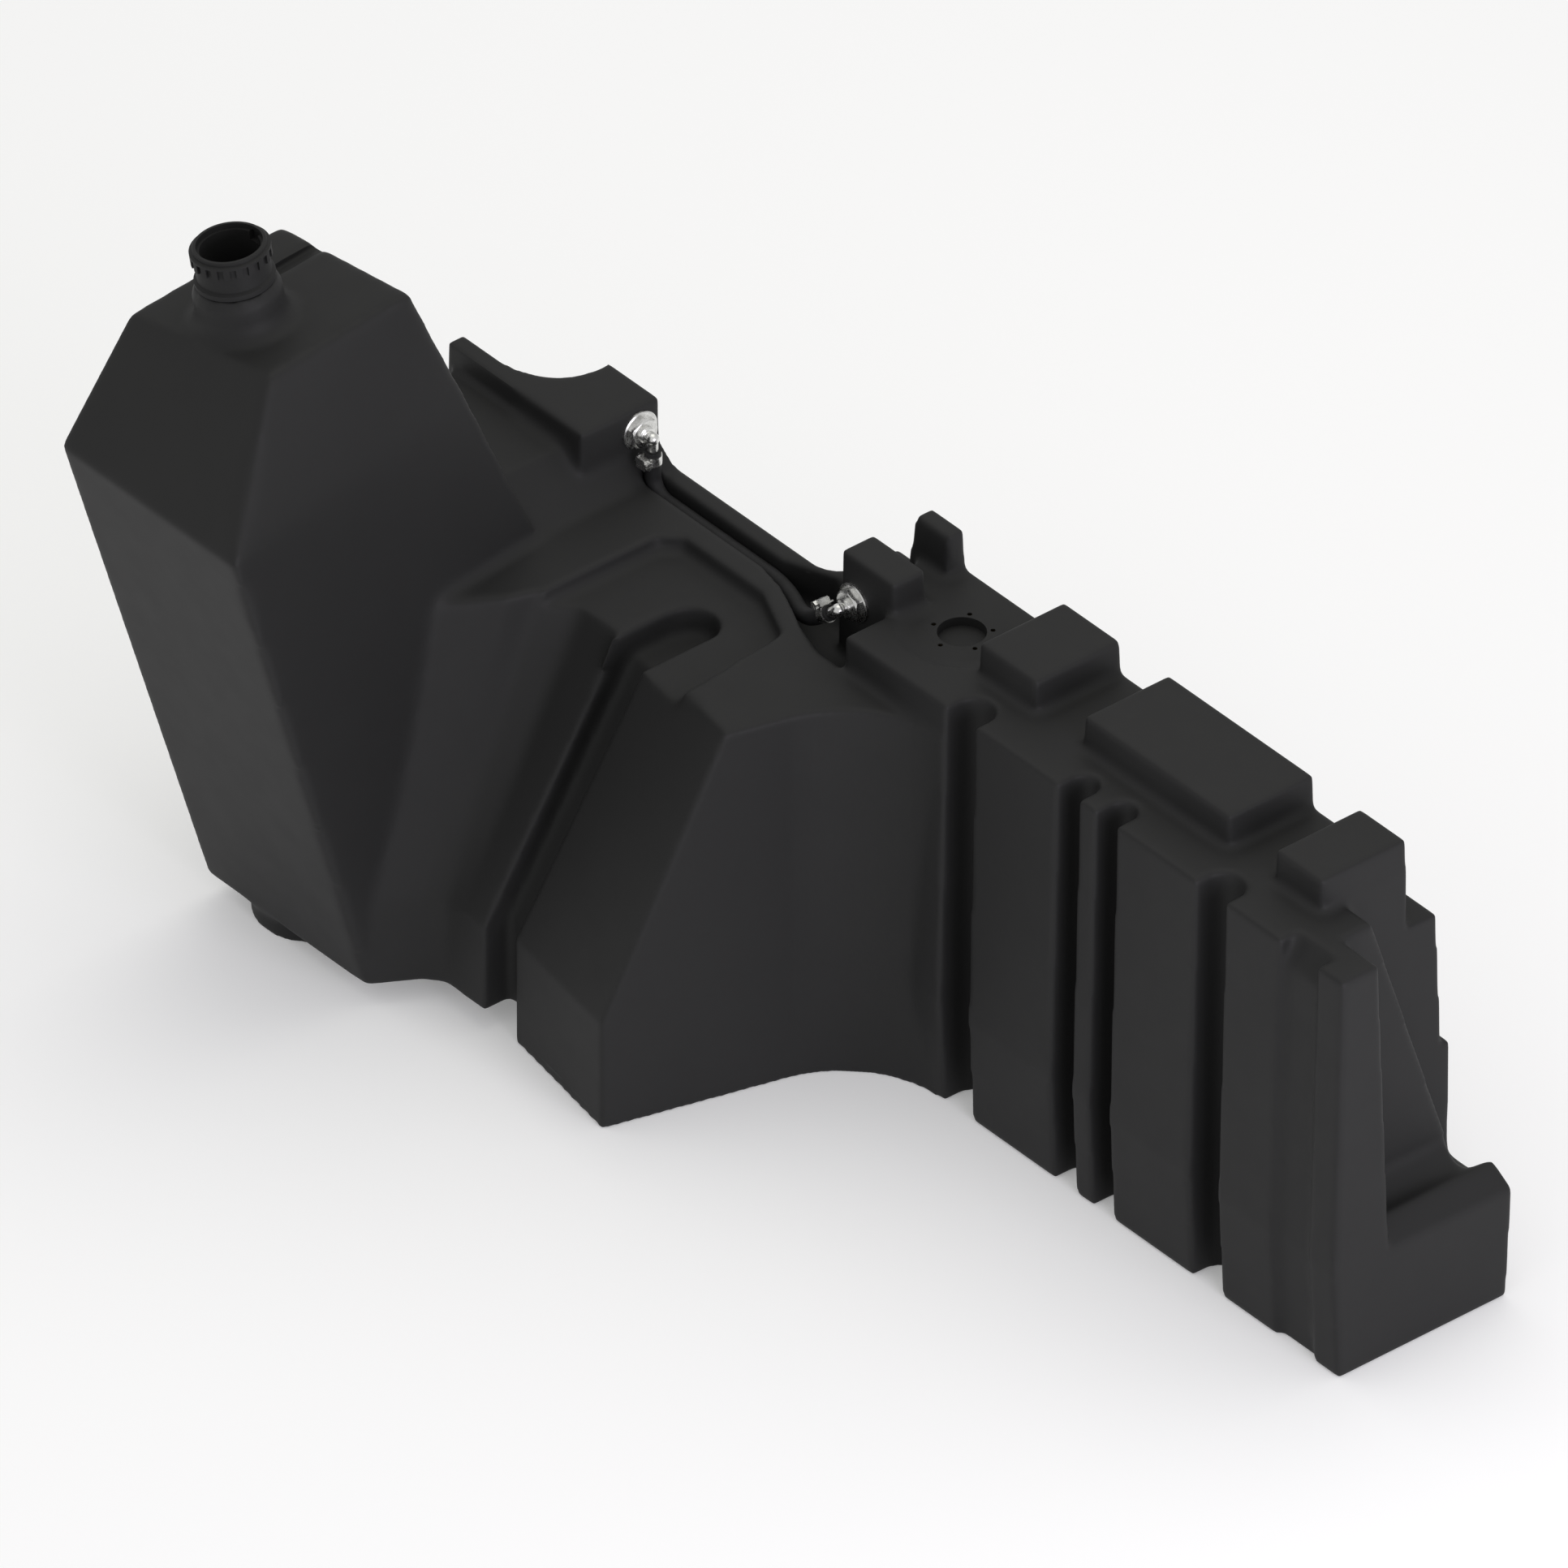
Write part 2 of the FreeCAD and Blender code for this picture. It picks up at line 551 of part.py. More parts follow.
def middle_cuts(tag, grow):
    """Pocket, hooked channel, hose trough and well in the top of the middle section."""
    pocket = prism("pocket_" + tag, [
        ("-wedge_left_x - 90 - %s" % grow, "-160"), ("-wedge_left_x - 90 - %s" % grow, "2"),
        ("-wedge_left_x - 74", "19 + %s" % grow),
        ("-wedge_left_x + 31", "19 + %s" % grow), ("-wedge_left_x + 87 + %s" % grow, "-6"),
        ("-wedge_left_x + 91 + %s" % grow, "-23"), ("-wedge_left_x + 100 + %s" % grow, "-160")],
        ("pocket_floor - %s" % grow, "deck + 60"))
    channel_floor = "pocket_floor - channel_depth - %s" % grow
    channel_round = "(channel_top_left - channel_top_right) / 2"
    round_centre = "-channel_back - " + channel_round
    channel_side = sideways_prism("channel_side_" + tag, [
        ("-320", "-20"), ("-saddle_front + channel_depth + %s" % grow, "-20"),
        ("-saddle_front + channel_depth + %s" % grow, "parting"),
        ("-saddle_top_front + 4 + %s" % grow, channel_floor), (round_centre, channel_floor),
        (round_centre, "deck + 60"), ("-320", "deck + 60")],
        ("-channel_left - 40", "-channel_top_right + 40"))
    channel_front = lengthways_prism("channel_front_" + tag, [
        ("-channel_left - %s" % grow, "-20"), ("-channel_right + %s" % grow, "-20"),
        ("-channel_right + %s" % grow, "parting"), ("-channel_top_right + %s" % grow, "pocket_floor"),
        ("-channel_top_right + %s" % grow, "deck + 60"), ("-channel_top_left - %s" % grow, "deck + 60"),
        ("-channel_top_left - %s" % grow, "pocket_floor"), ("-channel_left - %s" % grow, "parting")],
        ("-320", "0"))
    channel = common("channel_" + tag, channel_side, channel_front)
    channel_end = cylinder("channel_end_" + tag, "-(channel_top_left + channel_top_right) / 2", round_centre,
                           "%s + %s" % (channel_round, grow), (channel_floor, "deck + 60"))
    trough = box("trough_" + tag, ("-trough_start - %s" % grow, "-trough_end"),
                 ("trough_front - %s" % grow, "trough_back + %s" % grow),
                 ("trough_floor - %s" % grow, "pad_top + 60"))
    well = prism("well_" + tag, [
        ("-trough_end - 26", "trough_back + %s" % grow), ("-trough_end - 26", "trough_front - 1 - %s" % grow),
        ("-trough_end + 4", "trough_front - 7 - %s" % grow),
        ("-trough_end + 29", "trough_front - 17 - %s" % grow),
        ("-block_left - 8", "14 - %s" % grow), ("-block_left + 30", "2 - %s" % grow),
        ("-sender_deck_left + %s" % grow, "2 - %s" % grow),
        ("-sender_deck_left + %s" % grow, "block_front - 2 + %s" % grow),
        ("-block_left - 4 + %s" % grow, "block_front - 2 + %s" % grow),
        ("-block_left - 4 + %s" % grow, "block_back - 6 + %s" % grow),
        ("-block_left - 40", "block_back - 6 + %s" % grow)],
        ("well_floor - %s" % grow, "pad_top + 60"))
    return [pocket, channel, channel_end, trough, well]


def sender_deck(tag, inset):
    """Raised deck of the level sender, in front of and beside the second fitting's block."""
    main = box("sender_deck_" + tag, ("-sender_deck_left + %s" % inset, "-side_start + 60"),
               ("high_draft - low_draft + %s" % inset, "side_back - %s" % inset),
               ("parting", "deck - %s" % inset))
    behind_block = box("sender_deck_rear_" + tag, ("-lug_left + 12 + %s" % inset, "-sender_deck_left + 20"),
                       ("block_back - 20 + %s" % inset, "side_back - %s" % inset),
                       ("parting", "deck - sender_pocket_depth - %s" % inset))
    return [main, behind_block]


def sender_cuts(tag, grow):
    """Shallow pocket that runs out to the rear, and the round recess."""
    centre = ("-sender_from_end", "sender_from_front")
    floor = "deck - sender_pocket_depth - %s" % grow
    pocket = cylinder("sender_pocket_" + tag, centre[0], centre[1], "sender_pocket + %s" % grow,
                      (floor, "pad_top - 10"))
    runout = box("sender_runout_" + tag, ("-sender_from_end - sender_pocket - 6 - %s" % grow,
                                          "-sender_from_end + sender_pocket + %s" % grow),
                 ("sender_from_front", "side_back + 40"), (floor, "pad_top - 10"))
    recess = cylinder("sender_recess_" + tag, centre[0], centre[1], "sender_recess_radius + %s" % grow,
                      ("deck - sender_pocket_depth - sender_recess_depth - %s" % grow, "deck"))
    return [cut("sender_hollow_" + tag, fuse("sender_all_" + tag, [pocket, runout]), sender_keep(tag)),
            recess]


def sender_keep(tag):
    """What the sender's pocket leaves standing: the block and the first pad beside it."""
    block = flared_block("keep_block_" + tag, ("-block_left - 40", "-block_right"),
                         ("block_front", "block_back"),
                         ("middle_top", "pad_top + 20"), "0", "4", "4", "4")
    pad = flared_block("keep_pad_" + tag, ("-pad_one_left", "-pad_one_right"),
                       ("pad_front", "side_back + 60"),
                       ("middle_top", "pad_top + 20"), "7", "0", "7")
    return fuse("sender_keep_" + tag, [block, pad])


def tower(tag, inset):
    """Filler tower: undercut front below its crease, chamfered front above, sloping top."""
    levels = [
        ("saddle_floor + %s" % inset, "tower_foot_near", "tower_foot_front", "tower_foot_back_x",
         "tower_foot_back_y"),
        ("tower_crease", "tower_crease_near", "-tower_crease_front", "tower_crease_back_x",
         "-tower_crease_back_y"),
        ("tower_cap", "tower_cap_near", "-tower_cap_front", "tower_cap_back_x", "-tower_cap_back_y")]
    sections = []
    for index, (height, near, front, back_x, back_y) in enumerate(levels):
        if index == 0:
            front = "-" + front
        sections.append((height, [
            ("-tower_far + %s" % inset, "%s + %s" % (front, inset)),
            ("-%s - %s" % (near, inset), "%s + %s" % (front, inset)),
            ("-%s - %s" % (back_x, inset), "%s - %s" % (back_y, inset)),
            ("-tower_far + %s" % inset, "%s - %s - 12" % (back_y, inset))]))
    body = loft("tower_" + tag, sections)
    lid = doc.addObject("Part::Box", "tower_lid_" + tag)
    bind(lid, Length="lid_span", Width="lid_span", Height="lid_height")
    rotation = filler_rotation()
    lid.Placement.Rotation = rotation
    corner = rotation.multVec(Vector(-0.5, -0.5, 0) * size("lid_span"))
    axis = rotation.multVec(Vector(0, 0, 1))
    place(lid, *["%s + (%.9f) - %s * (%.9f)" % (start, corner[index], inset, axis[index])
                 for index, start in enumerate(("-filler_x", "-filler_y", "filler_z"))])
    return cut("tower_cut_" + tag, body, lid)


def shoulder(tag, inset):
    """Block beside the tower, thinned to a rim by a cove at its rear."""
    block = flared_block("shoulder_block_" + tag,
                         ("-shoulder_left + %s" % inset, "-shoulder_right - %s" % inset),
                         ("-shoulder_front + %s" % inset, "middle_back - 4 - %s" % inset),
                         ("middle_top - 60", "pad_top - %s" % inset), "0", "0", "4")
    return block


def shelf(tag, inset):
    """Shelf between the tower and the block beside it, with a sloping end."""
    return lengthways_prism("shelf_" + tag, [
        ("-tower_far + %s" % inset, "middle_top - 60"), ("-shelf_edge - %s" % inset, "middle_top - 60"),
        ("-shelf_edge - %s" % inset, "middle_top - %s" % inset),
        ("-shelf_edge - shelf_slope - %s" % inset, "shelf_top - %s" % inset),
        ("-tower_far + %s" % inset, "shelf_top - %s" % inset)],
        ("-rear_join + %s" % inset, "middle_back - 4 - %s" % inset))


def heel():
    """Flat pad low on the rear of the side tank."""
    return box("heel", ("-heel_left", "-rear_recess_depth"), ("foot_back - 12", "heel_back"),
               ("heel_foot", "heel_top"))


def roof_groove(tag, grow):
    """Groove across the tower's sloping top, from behind the neck to the rear."""
    tool = doc.addObject("Part::Box", "roof_groove_" + tag)
    bind(tool, Length="roof_groove_width + 2 * (%s)" % grow, Width="120 + %s" % grow,
         Height="roof_groove_depth + 40")
    rotation = filler_rotation()
    tool.Placement.Rotation = rotation
    axis = rotation.multVec(Vector(0, 0, 1))
    drop = "(roof_groove_depth + %s)" % grow
    y = "-filler_y + roof_groove_start - %s" % grow
    x = "-roof_groove - roof_groove_width / 2 - %s" % grow
    z = "filler_z + top_rise_x / 100 * (filler_x - roof_groove - roof_groove_width / 2 - %s)" % grow
    z += " + top_rise_y / 100 * (roof_groove_start - %s)" % grow
    return place(tool, *["%s - %s * (%.9f)" % (start, drop, axis[index])
                         for index, start in enumerate((x, y, z))])


def roof_hole():
    """Small blind hole in that groove."""
    hole = doc.addObject("Part::Cylinder", "roof_hole")
    bind(hole, Radius="roof_hole_radius", Height="roof_groove_depth + 12")
    level = "filler_z + top_rise_x / 100 * (filler_x - roof_groove) + top_rise_y / 100 * roof_hole_back"
    return place(hole, "-roof_groove + roof_hole_side", "-filler_y + roof_hole_back",
                 level + " - roof_groove_depth - roof_hole_depth")


def shoulder_cove(tag, inset):
    """Upright cove behind the shoulder and its thin rim."""
    depth = ("-20", "pad_top + 60")
    round_part = cylinder("cove_" + tag, "-shoulder_cove_x", "shoulder_rim + shoulder_cove - %s" % inset,
                          "shoulder_cove", depth)
    side = box("cove_side_" + tag, ("-shoulder_left - 40", "-shoulder_cove_x"),
               ("shoulder_rim - %s" % inset, "middle_back + 60"), depth)
    return fuse("cove_cut_" + tag, [round_part, side])


def whole_form(tag, inset):
    """The tank's form: its outer skin or, inset by the wall, its hollow. Recesses grow by the same wall."""
    side_parts = side_tank(tag, inset) + pads(tag, inset) + sender_deck(tag, inset)
    if tag == "skin":
        side_parts.append(heel())
    side = cut("side_done_" + tag, fuse("side_fused_" + tag, side_parts), end_cuts(tag, inset))
    middle_form = fuse("middle_fused_" + tag, middle(tag, inset) + [shoulder(tag, inset), shelf(tag, inset)])
    middle_done = cut("middle_done_" + tag, middle_form,
                      fuse("middle_cuts_" + tag, middle_cuts(tag, inset) + [shoulder_cove(tag, inset)]))
    parts = [side, middle_done, tower(tag, inset), fitting_block(tag, inset)]
    tools = sender_cuts(tag, inset) + grooves(tag, inset) + [roof_groove(tag, inset)]
    if tag == "skin":
        parts.append(rear_lug())
        parts.append(box("ear", ("-ear_left", "-ear_right"), ("middle_back - 10", "ear_back"),
                         ("ear_top - ear_height", "ear_top")))
        tools.append(roof_hole())
    return cut("form_" + tag, fuse("form_all_" + tag, parts), fuse("form_cuts_" + tag, tools))


def neck_stub():
    """Stepped collar with a skirt, moulded on the sloping top."""
    stub = doc.addObject("Part::Cylinder", "stub")
    bind(stub, Radius="stub_radius", Height="stub_height + 30")
    place_on_filler(stub, "-30")
    collar = doc.addObject("Part::Cylinder", "stub_collar")
    bind(collar, Radius="collar_radius", Height="collar_height + 30")
    place_on_filler(collar, "-30")
    skirt = doc.addObject("Part::Cone", "stub_skirt")
    bind(skirt, Radius1="stub_skirt", Radius2="stub_radius", Height="skirt_height")
    place_on_filler(skirt)
    return [stub, collar, skirt]


def neck_bore():
    bore = doc.addObject("Part::Cylinder", "neck_bore")
    bind(bore, Radius="stub_bore", Height="collar_height + 60")
    return place_on_filler(bore, "-45")


def sump_boss():
    """Round boss under the tower; its floor is thicker round the drain recess."""
    outer = cylinder("boss_outer", "-boss_x", "-boss_y", "boss_radius", ("0", "saddle_floor + 20"))
    hollow = cylinder("boss_hollow", "-boss_x", "-boss_y", "boss_radius - wall",
                      ("wall", "saddle_floor + wall + 2"))
    thick = cylinder("boss_thick", "-boss_x", "-boss_y", "drain_recess + wall",
                     ("0", "drain_recess_depth + wall"))
    return outer, cut("boss_core", hollow, thick)


def drain_cuts():
    recess = cylinder("drain_well", "-boss_x", "-boss_y", "drain_recess", ("-10", "drain_recess_depth"))
    seat = cylinder("drain_seat", "-boss_x", "-boss_y", "drain_radius",
                    ("drain_recess_depth", "drain_recess_depth + wall"))
    return [recess, seat]


def sender_angles():
    """Five screws on one pitch circle, unevenly spaced so that the sender fits one way only."""
    first = size("sender_first_angle")
    return [math.radians(first + step) for step in (0, 70.5, 141, 220.5, 291.5)]


def insert_cuts():
    """Holes over the five moulded-in sender inserts, and the room of the inserts themselves."""
    floor = "deck - sender_pocket_depth"
    tools = []
    for index, angle in enumerate(sender_angles()):
        x = "-sender_from_end + sender_pitch_radius * (%.9f)" % math.cos(angle)
        y = "sender_from_front + sender_pitch_radius * (%.9f)" % math.sin(angle)
        tools.append(cylinder("screw_hole_%d" % index, x, y, "insert_bore + fit_gap",
                              (floor + " - 3", floor + " + 5")))
        tools.append(cylinder("insert_room_%d" % index, x, y, "insert_radius",
                              (floor + " - insert_cover - insert_length", floor + " - insert_cover")))
    return tools


def revolved(name, points):
    """A solid of revolution about Z through radius and height pairs."""
    sketch = outline(name + "_profile", points, "0", Rotation(Vector(1, 0, 0), 90))
    for axis in ("x", "y", "z"):
        sketch.setExpression("Placement.Base." + axis, None)
    sketch.Placement.Base = Vector(0, 0, 0)
    solid = doc.addObject("Part::Revolution", name)
    solid.Source = sketch
    solid.Axis = Vector(0, 0, 1)
    solid.Angle = 360
    solid.Solid = True
    return solid


def local_cylinder(name, radius, length, start="0", direction=Vector(0, 0, 1), at=("0", "0", "0")):
    """A cylinder in a piece's own frame, from a start distance along its direction."""
    solid = doc.addObject("Part::Cylinder", name)
    solid.Placement.Rotation = Rotation(Vector(0, 0, 1), direction)
    bind(solid, Radius=radius, Height=length)
    for axis, base, part in zip("xyz", at, direction):
        solid.setExpression("Placement.Base." + axis, linked("%s + (%s) * (%.6f)" % (base, start, part)))
    return solid


def local_box(name, x, y, z):
    solid = doc.addObject("Part::Box", name)
    bind(solid, Length="(%s) - (%s)" % (x[1], x[0]), Width="(%s) - (%s)" % (y[1], y[0]),
         Height="(%s) - (%s)" % (z[1], z[0]))
    for axis, bounds in zip("xyz", (x, y, z)):
        solid.setExpression("Placement.Base." + axis, linked(bounds[0]))
    return solid


def hexagon(name, flats, height, start="0"):
    solid = doc.addObject("Part::Prism", name)
    solid.Polygon = 6
    bind(solid, Circumradius="%s / sqrt(3)" % flats, Height=height)
    solid.setExpression("Placement.Base.z", linked(start))
    return solid


def neck_ring():
    """Neck ring with its spigot in the stub, a windowed band and a cam mouth."""
    body = revolved("ring_body", [
        ("ring_bore", "-spigot_length"), ("stub_bore - fit_gap", "-spigot_length"),
        ("stub_bore - fit_gap", "0"),
        ("collar_radius - 1", "0"), ("collar_radius - 1", "3"), ("ring_radius", "5"),
        ("ring_radius", "ring_height - band_top - band_height"),
        ("band_radius", "ring_height - band_top - band_height + 1"),
        ("band_radius", "ring_height - band_top"), ("ring_radius", "ring_height - band_top + 1"),
        ("ring_radius", "ring_height - 1"), ("ring_radius - 1", "ring_height"), ("mouth_bore", "ring_height"),
        ("mouth_bore", "ring_height - mouth_depth"), ("ring_bore", "ring_height - mouth_depth")])
    tools = []
    count = int(size("window_count"))
    middle_height = "ring_height - band_top - 2 - window_height / 2"
    for index in range(count):
        window = local_box("window_%d" % index, ("0", "20"), ("-window_width / 2", "window_width / 2"),
                           ("0", "window_height"))
        turn = 2 * math.pi * index / count
        window.Placement.Rotation = Rotation(Vector(0, 0, 1), math.degrees(turn))
        across = "(ring_radius + 0.4) * (%.9f) + window_width / 2 * (%.9f)" % (math.cos(turn), math.sin(turn))
        along = "(ring_radius + 0.4) * (%.9f) - window_width / 2 * (%.9f)" % (math.sin(turn), math.cos(turn))
        window.setExpression("Placement.Base.x", linked(across))
        window.setExpression("Placement.Base.y", linked(along))
        window.setExpression("Placement.Base.z", linked("%s - window_height / 2" % middle_height))
        tools.append(window)
    for side, sign in (("near", "1"), ("far", "-1")):
        notch = local_box("cam_notch_" + side, ("-cam_width / 2", "cam_width / 2"),
                          ("%s * (ring_bore + 1.2) - 3" % sign, "%s * (ring_bore + 1.2) + 3" % sign),
                          ("ring_height - mouth_depth - cam_depth", "ring_height - mouth_depth + 1"))
        tools.append(notch)
    ring = cut("filler_neck", body, fuse("ring_cuts", tools))
    return place_on_filler(ring, "collar_height + seal_thickness")


def neck_seal():
    seal = revolved("neck_seal", [("stub_bore", "0"), ("collar_radius - 1.5", "0"),
                                  ("collar_radius - 1.5", "seal_thickness"), ("stub_bore", "seal_thickness")])
    return place_on_filler(seal, "collar_height")


def sender_inserts():
    """Moulded-in threaded inserts, closed at the bottom."""
    inserts = []
    for index, angle in enumerate(sender_angles(), start=1):
        insert = revolved("sender_insert_%d" % index, [
            ("0", "0"), ("insert_radius", "0"), ("insert_radius", "insert_length * 0.4"),
            ("insert_radius - 0.7", "insert_length * 0.4"), ("insert_radius - 0.7", "insert_length * 0.6"),
            ("insert_radius", "insert_length * 0.6"), ("insert_radius", "insert_length"),
            ("insert_bore", "insert_length"), ("insert_bore", "1.2"), ("0", "1.2")])
        place(insert, "-sender_from_end + sender_pitch_radius * (%.9f)" % math.cos(angle),
              "sender_from_front + sender_pitch_radius * (%.9f)" % math.sin(angle),
              "deck - sender_pocket_depth - insert_cover - insert_length")
        inserts.append(insert)
    return inserts


def drain():
    """Insert, seal and socket plug in the sump boss."""
    insert = revolved("drain_insert", [
        ("drain_thread", "0"), ("drain_radius", "0"), ("drain_radius", "wall"),
        ("drain_radius - 2", "wall + 3"), ("drain_thread", "wall + 3")])
    place(insert, "-boss_x", "-boss_y", "drain_recess_depth")
    seal = revolved("drain_seal", [
        ("drain_thread + fit_gap", "0"), ("drain_radius + 1", "0"), ("drain_radius + 1", "seal_thickness"),
        ("drain_thread + fit_gap", "seal_thickness")])
    place(seal, "-boss_x", "-boss_y", "drain_recess_depth - seal_thickness")
    plug_body = revolved("plug_body", [
        ("0", "-6"), ("8", "-6"), ("9.5", "-5"), ("9.5", "-2.5"), ("drain_radius + 2", "-2.5"),
        ("drain_radius + 2", "0"), ("drain_thread", "0"), ("drain_thread", "8"), ("drain_thread - 1", "9"),
        ("0", "9")])
    socket = hexagon("plug_socket", "drain_thread", "5", "-7")
    plug = cut("drain_plug", plug_body, socket)
    place(plug, "-boss_x", "-boss_y", "drain_recess_depth - seal_thickness")
    return [insert, seal, plug]


def fitting_place(tag):
    """Frame of a vent fitting: Z out of the wall, X along the elbow's leg."""
    if tag == "tower":
        base = ("-shoulder_right", "tower_fitting_y", "tower_fitting_z")
        leg = Vector(0, 0, -1)
        outward = Vector(1, 0, 0)
    else:
        base = ("-deck_fitting_x", "block_front", "deck_fitting_z")
        droop = math.radians(size("deck_leg_angle"))
        leg = Vector(-math.cos(droop), 0, -math.sin(droop))
        outward = Vector(0, -1, 0)
    return base, Rotation(leg, outward.cross(leg), outward, "ZXY")


def seat(obj, tag):
    base, rotation = fitting_place(tag)
    obj.Placement.Rotation = rotation
    return place(obj, *base)


def fitting_hole(tag):
    """Room of the moulded-in fitting insert."""
    room = doc.addObject("Part::Cylinder", tag + "_insert_room")
    base, rotation = fitting_place(tag)
    inward = rotation.multVec(Vector(0, 0, -1))
    room.Placement.Rotation = rotation
    bind(room, Radius="fitting_insert_radius", Height="wall + 40")
    return place(room, *["%s + (wall + 4) * (%.9f)" % (base[index], inward[index]) for index in range(3)])


def vent_fitting(tag):
    """Insert, washer, nut and elbow, with the hose clamp and its screw."""
    insert = revolved(tag + "_insert", [
        ("shank_radius", "-wall - 2"), ("fitting_insert_radius", "-wall - 2"), ("fitting_insert_radius", "0"),
        ("shank_radius", "0")])
    washer = revolved(tag + "_washer", [
        ("shank_radius + fit_gap", "0"), ("flange_radius", "0"), ("flange_radius", "flange_thickness - 0.8"),
        ("flange_radius - 1.2", "flange_thickness"), ("shank_radius + fit_gap", "flange_thickness")])
    nut_hex = hexagon(tag + "_nut_hex", "hex_flats", "hex_height", "flange_thickness")
    nut_round = revolved(tag + "_nut_round", [
        ("0", "flange_thickness"), ("hex_flats / 2 + 1.4", "flange_thickness"),
        ("hex_flats / 2 + 1.4", "flange_thickness + hex_height - 1.6"),
        ("hex_flats / 2 - 0.6", "flange_thickness + hex_height"), ("0", "flange_thickness + hex_height")])
    nut_shape = doc.addObject("Part::MultiCommon", tag + "_nut_shape")
    nut_shape.Shapes = [nut_hex, nut_round]
    nut = cut(tag + "_nut", nut_shape, local_cylinder(tag + "_nut_bore", "shank_radius", "40", "-10"))
    elbow = fitting_elbow(tag)
    clamp, screw = hose_clamp(tag)
    pieces = [insert, washer, nut, elbow, clamp, screw]
    for piece in pieces:
        seat(piece, tag)
    return pieces


def fitting_elbow(tag):
    """Threaded shank, a round neck, the elbow and its barbed leg, with the vent bore through it."""
    top = "flange_thickness + hex_height"
    shank = revolved(tag + "_shank", [
        ("0", "-wall"), ("shank_radius", "-wall"), ("shank_radius", top + " + 1.6"),
        ("shank_radius - 0.9", top + " + 2.3"),
        ("shank_radius", top + " + 3"), ("shank_radius - 0.9", top + " + 3.7"),
        ("elbow_radius", top + " + 4.2"),
        ("elbow_radius", "elbow_reach"), ("0", "elbow_reach")])
    ball = doc.addObject("Part::Sphere", tag + "_ball")
    bind(ball, Radius="elbow_radius + 0.5")
    ball.setExpression("Placement.Base.z", linked("elbow_reach"))
    leg = local_cylinder(tag + "_leg", "elbow_radius - 0.6", "hose_start - 1", "0", Vector(1, 0, 0),
                         ("0", "0", "elbow_reach"))
    barbs = revolved(tag + "_barbs", [
        ("0", "0"), ("barb_radius", "0"), ("barb_radius", "hose_start - 0.2"),
        ("barb_radius - 0.5", "hose_start + 2"),
        ("barb_radius", "hose_start + 5"), ("barb_radius", "hose_start + 6"),
        ("barb_radius - 0.5", "hose_start + 6.2"),
        ("barb_radius", "hose_start + 10"), ("barb_radius", "hose_start + 11"),
        ("barb_radius - 0.5", "hose_start + 11.2"),
        ("barb_radius", "hose_start + 15"), ("barb_radius", "hose_start + 16"),
        ("barb_radius - 0.8", "hose_start + barb_length - 2"),
        ("0", "hose_start + barb_length - 2")])
    barbs.Placement.Rotation = Rotation(Vector(0, 0, 1), Vector(1, 0, 0))
    barbs.setExpression("Placement.Base.z", linked("elbow_reach"))
    solid = fuse(tag + "_elbow_solid", [shank, ball, leg, barbs])
    bores = fuse(tag + "_elbow_bores", [
        local_cylinder(tag + "_shank_bore", "vent_bore", "elbow_reach + wall + 5", "-wall - 5"),
        local_cylinder(tag + "_leg_bore", "vent_bore", "hose_start + barb_length + 5", "0", Vector(1, 0, 0),
                       ("0", "0", "elbow_reach"))])
    return cut(tag + "_elbow", solid, bores)


def hose_clamp(tag):
    """Band round the hose with a worm housing on one side, and the screw through it."""
    along = Vector(1, 0, 0)
    start = "hose_start + clamp_start"
    end = start + " + clamp_width"
    centre = ("0", "0", "elbow_reach")
    housing_middle = "hose_radius + clamp_thickness + 2.6"
    band = local_cylinder(tag + "_band", "hose_radius + clamp_thickness", "clamp_width", start, along, centre)
    housing = local_box(tag + "_housing", (start + " - 0.6", end + " + 0.6"),
                        ("-(%s) - 3.1" % housing_middle, "-hose_radius - 0.2"),
                        ("elbow_reach - 5.5", "elbow_reach + 5.5"))
    tail = local_box(tag + "_tail", (start + " + 0.3", end + " - 0.3"),
                     ("-hose_radius - clamp_thickness - 0.5", "-hose_radius - 0.1"),
                     ("elbow_reach - 9.5", "elbow_reach"))
    hose_room = local_cylinder(tag + "_hose_room", "hose_radius", "clamp_width + 8", start + " - 4", along,
                               centre)
    screw_at = (start + " + clamp_width / 2", "-(%s)" % housing_middle, "elbow_reach")
    screw_room = local_cylinder(tag + "_screw_room", "screw_radius + 0.15", "30", "-15", Vector(0, 0, 1),
                                screw_at)
    clamp = cut(tag + "_clamp", fuse(tag + "_clamp_solid", [band, housing, tail]),
                fuse(tag + "_clamp_rooms", [hose_room, screw_room]))
    shank = local_cylinder(tag + "_screw_shank", "screw_radius", "15", "-8", Vector(0, 0, 1), screw_at)
    head = hexagon(tag + "_screw_head", "7", "3.6")
    for axis, base in zip("xyz", (screw_at[0], screw_at[1], screw_at[2] + " + 5.5")):
        head.setExpression("Placement.Base." + axis, linked(base))
    slot = local_box(tag + "_screw_slot", (screw_at[0] + " - 0.5", screw_at[0] + " + 0.5"),
                     ("-(%s) - 6" % housing_middle, "-(%s) + 6" % housing_middle),
                     ("elbow_reach + 7.9", "elbow_reach + 12"))
    screw = cut(tag + "_clamp_screw", fuse(tag + "_screw_solid", [shank, head]), slot)
    return clamp, screw


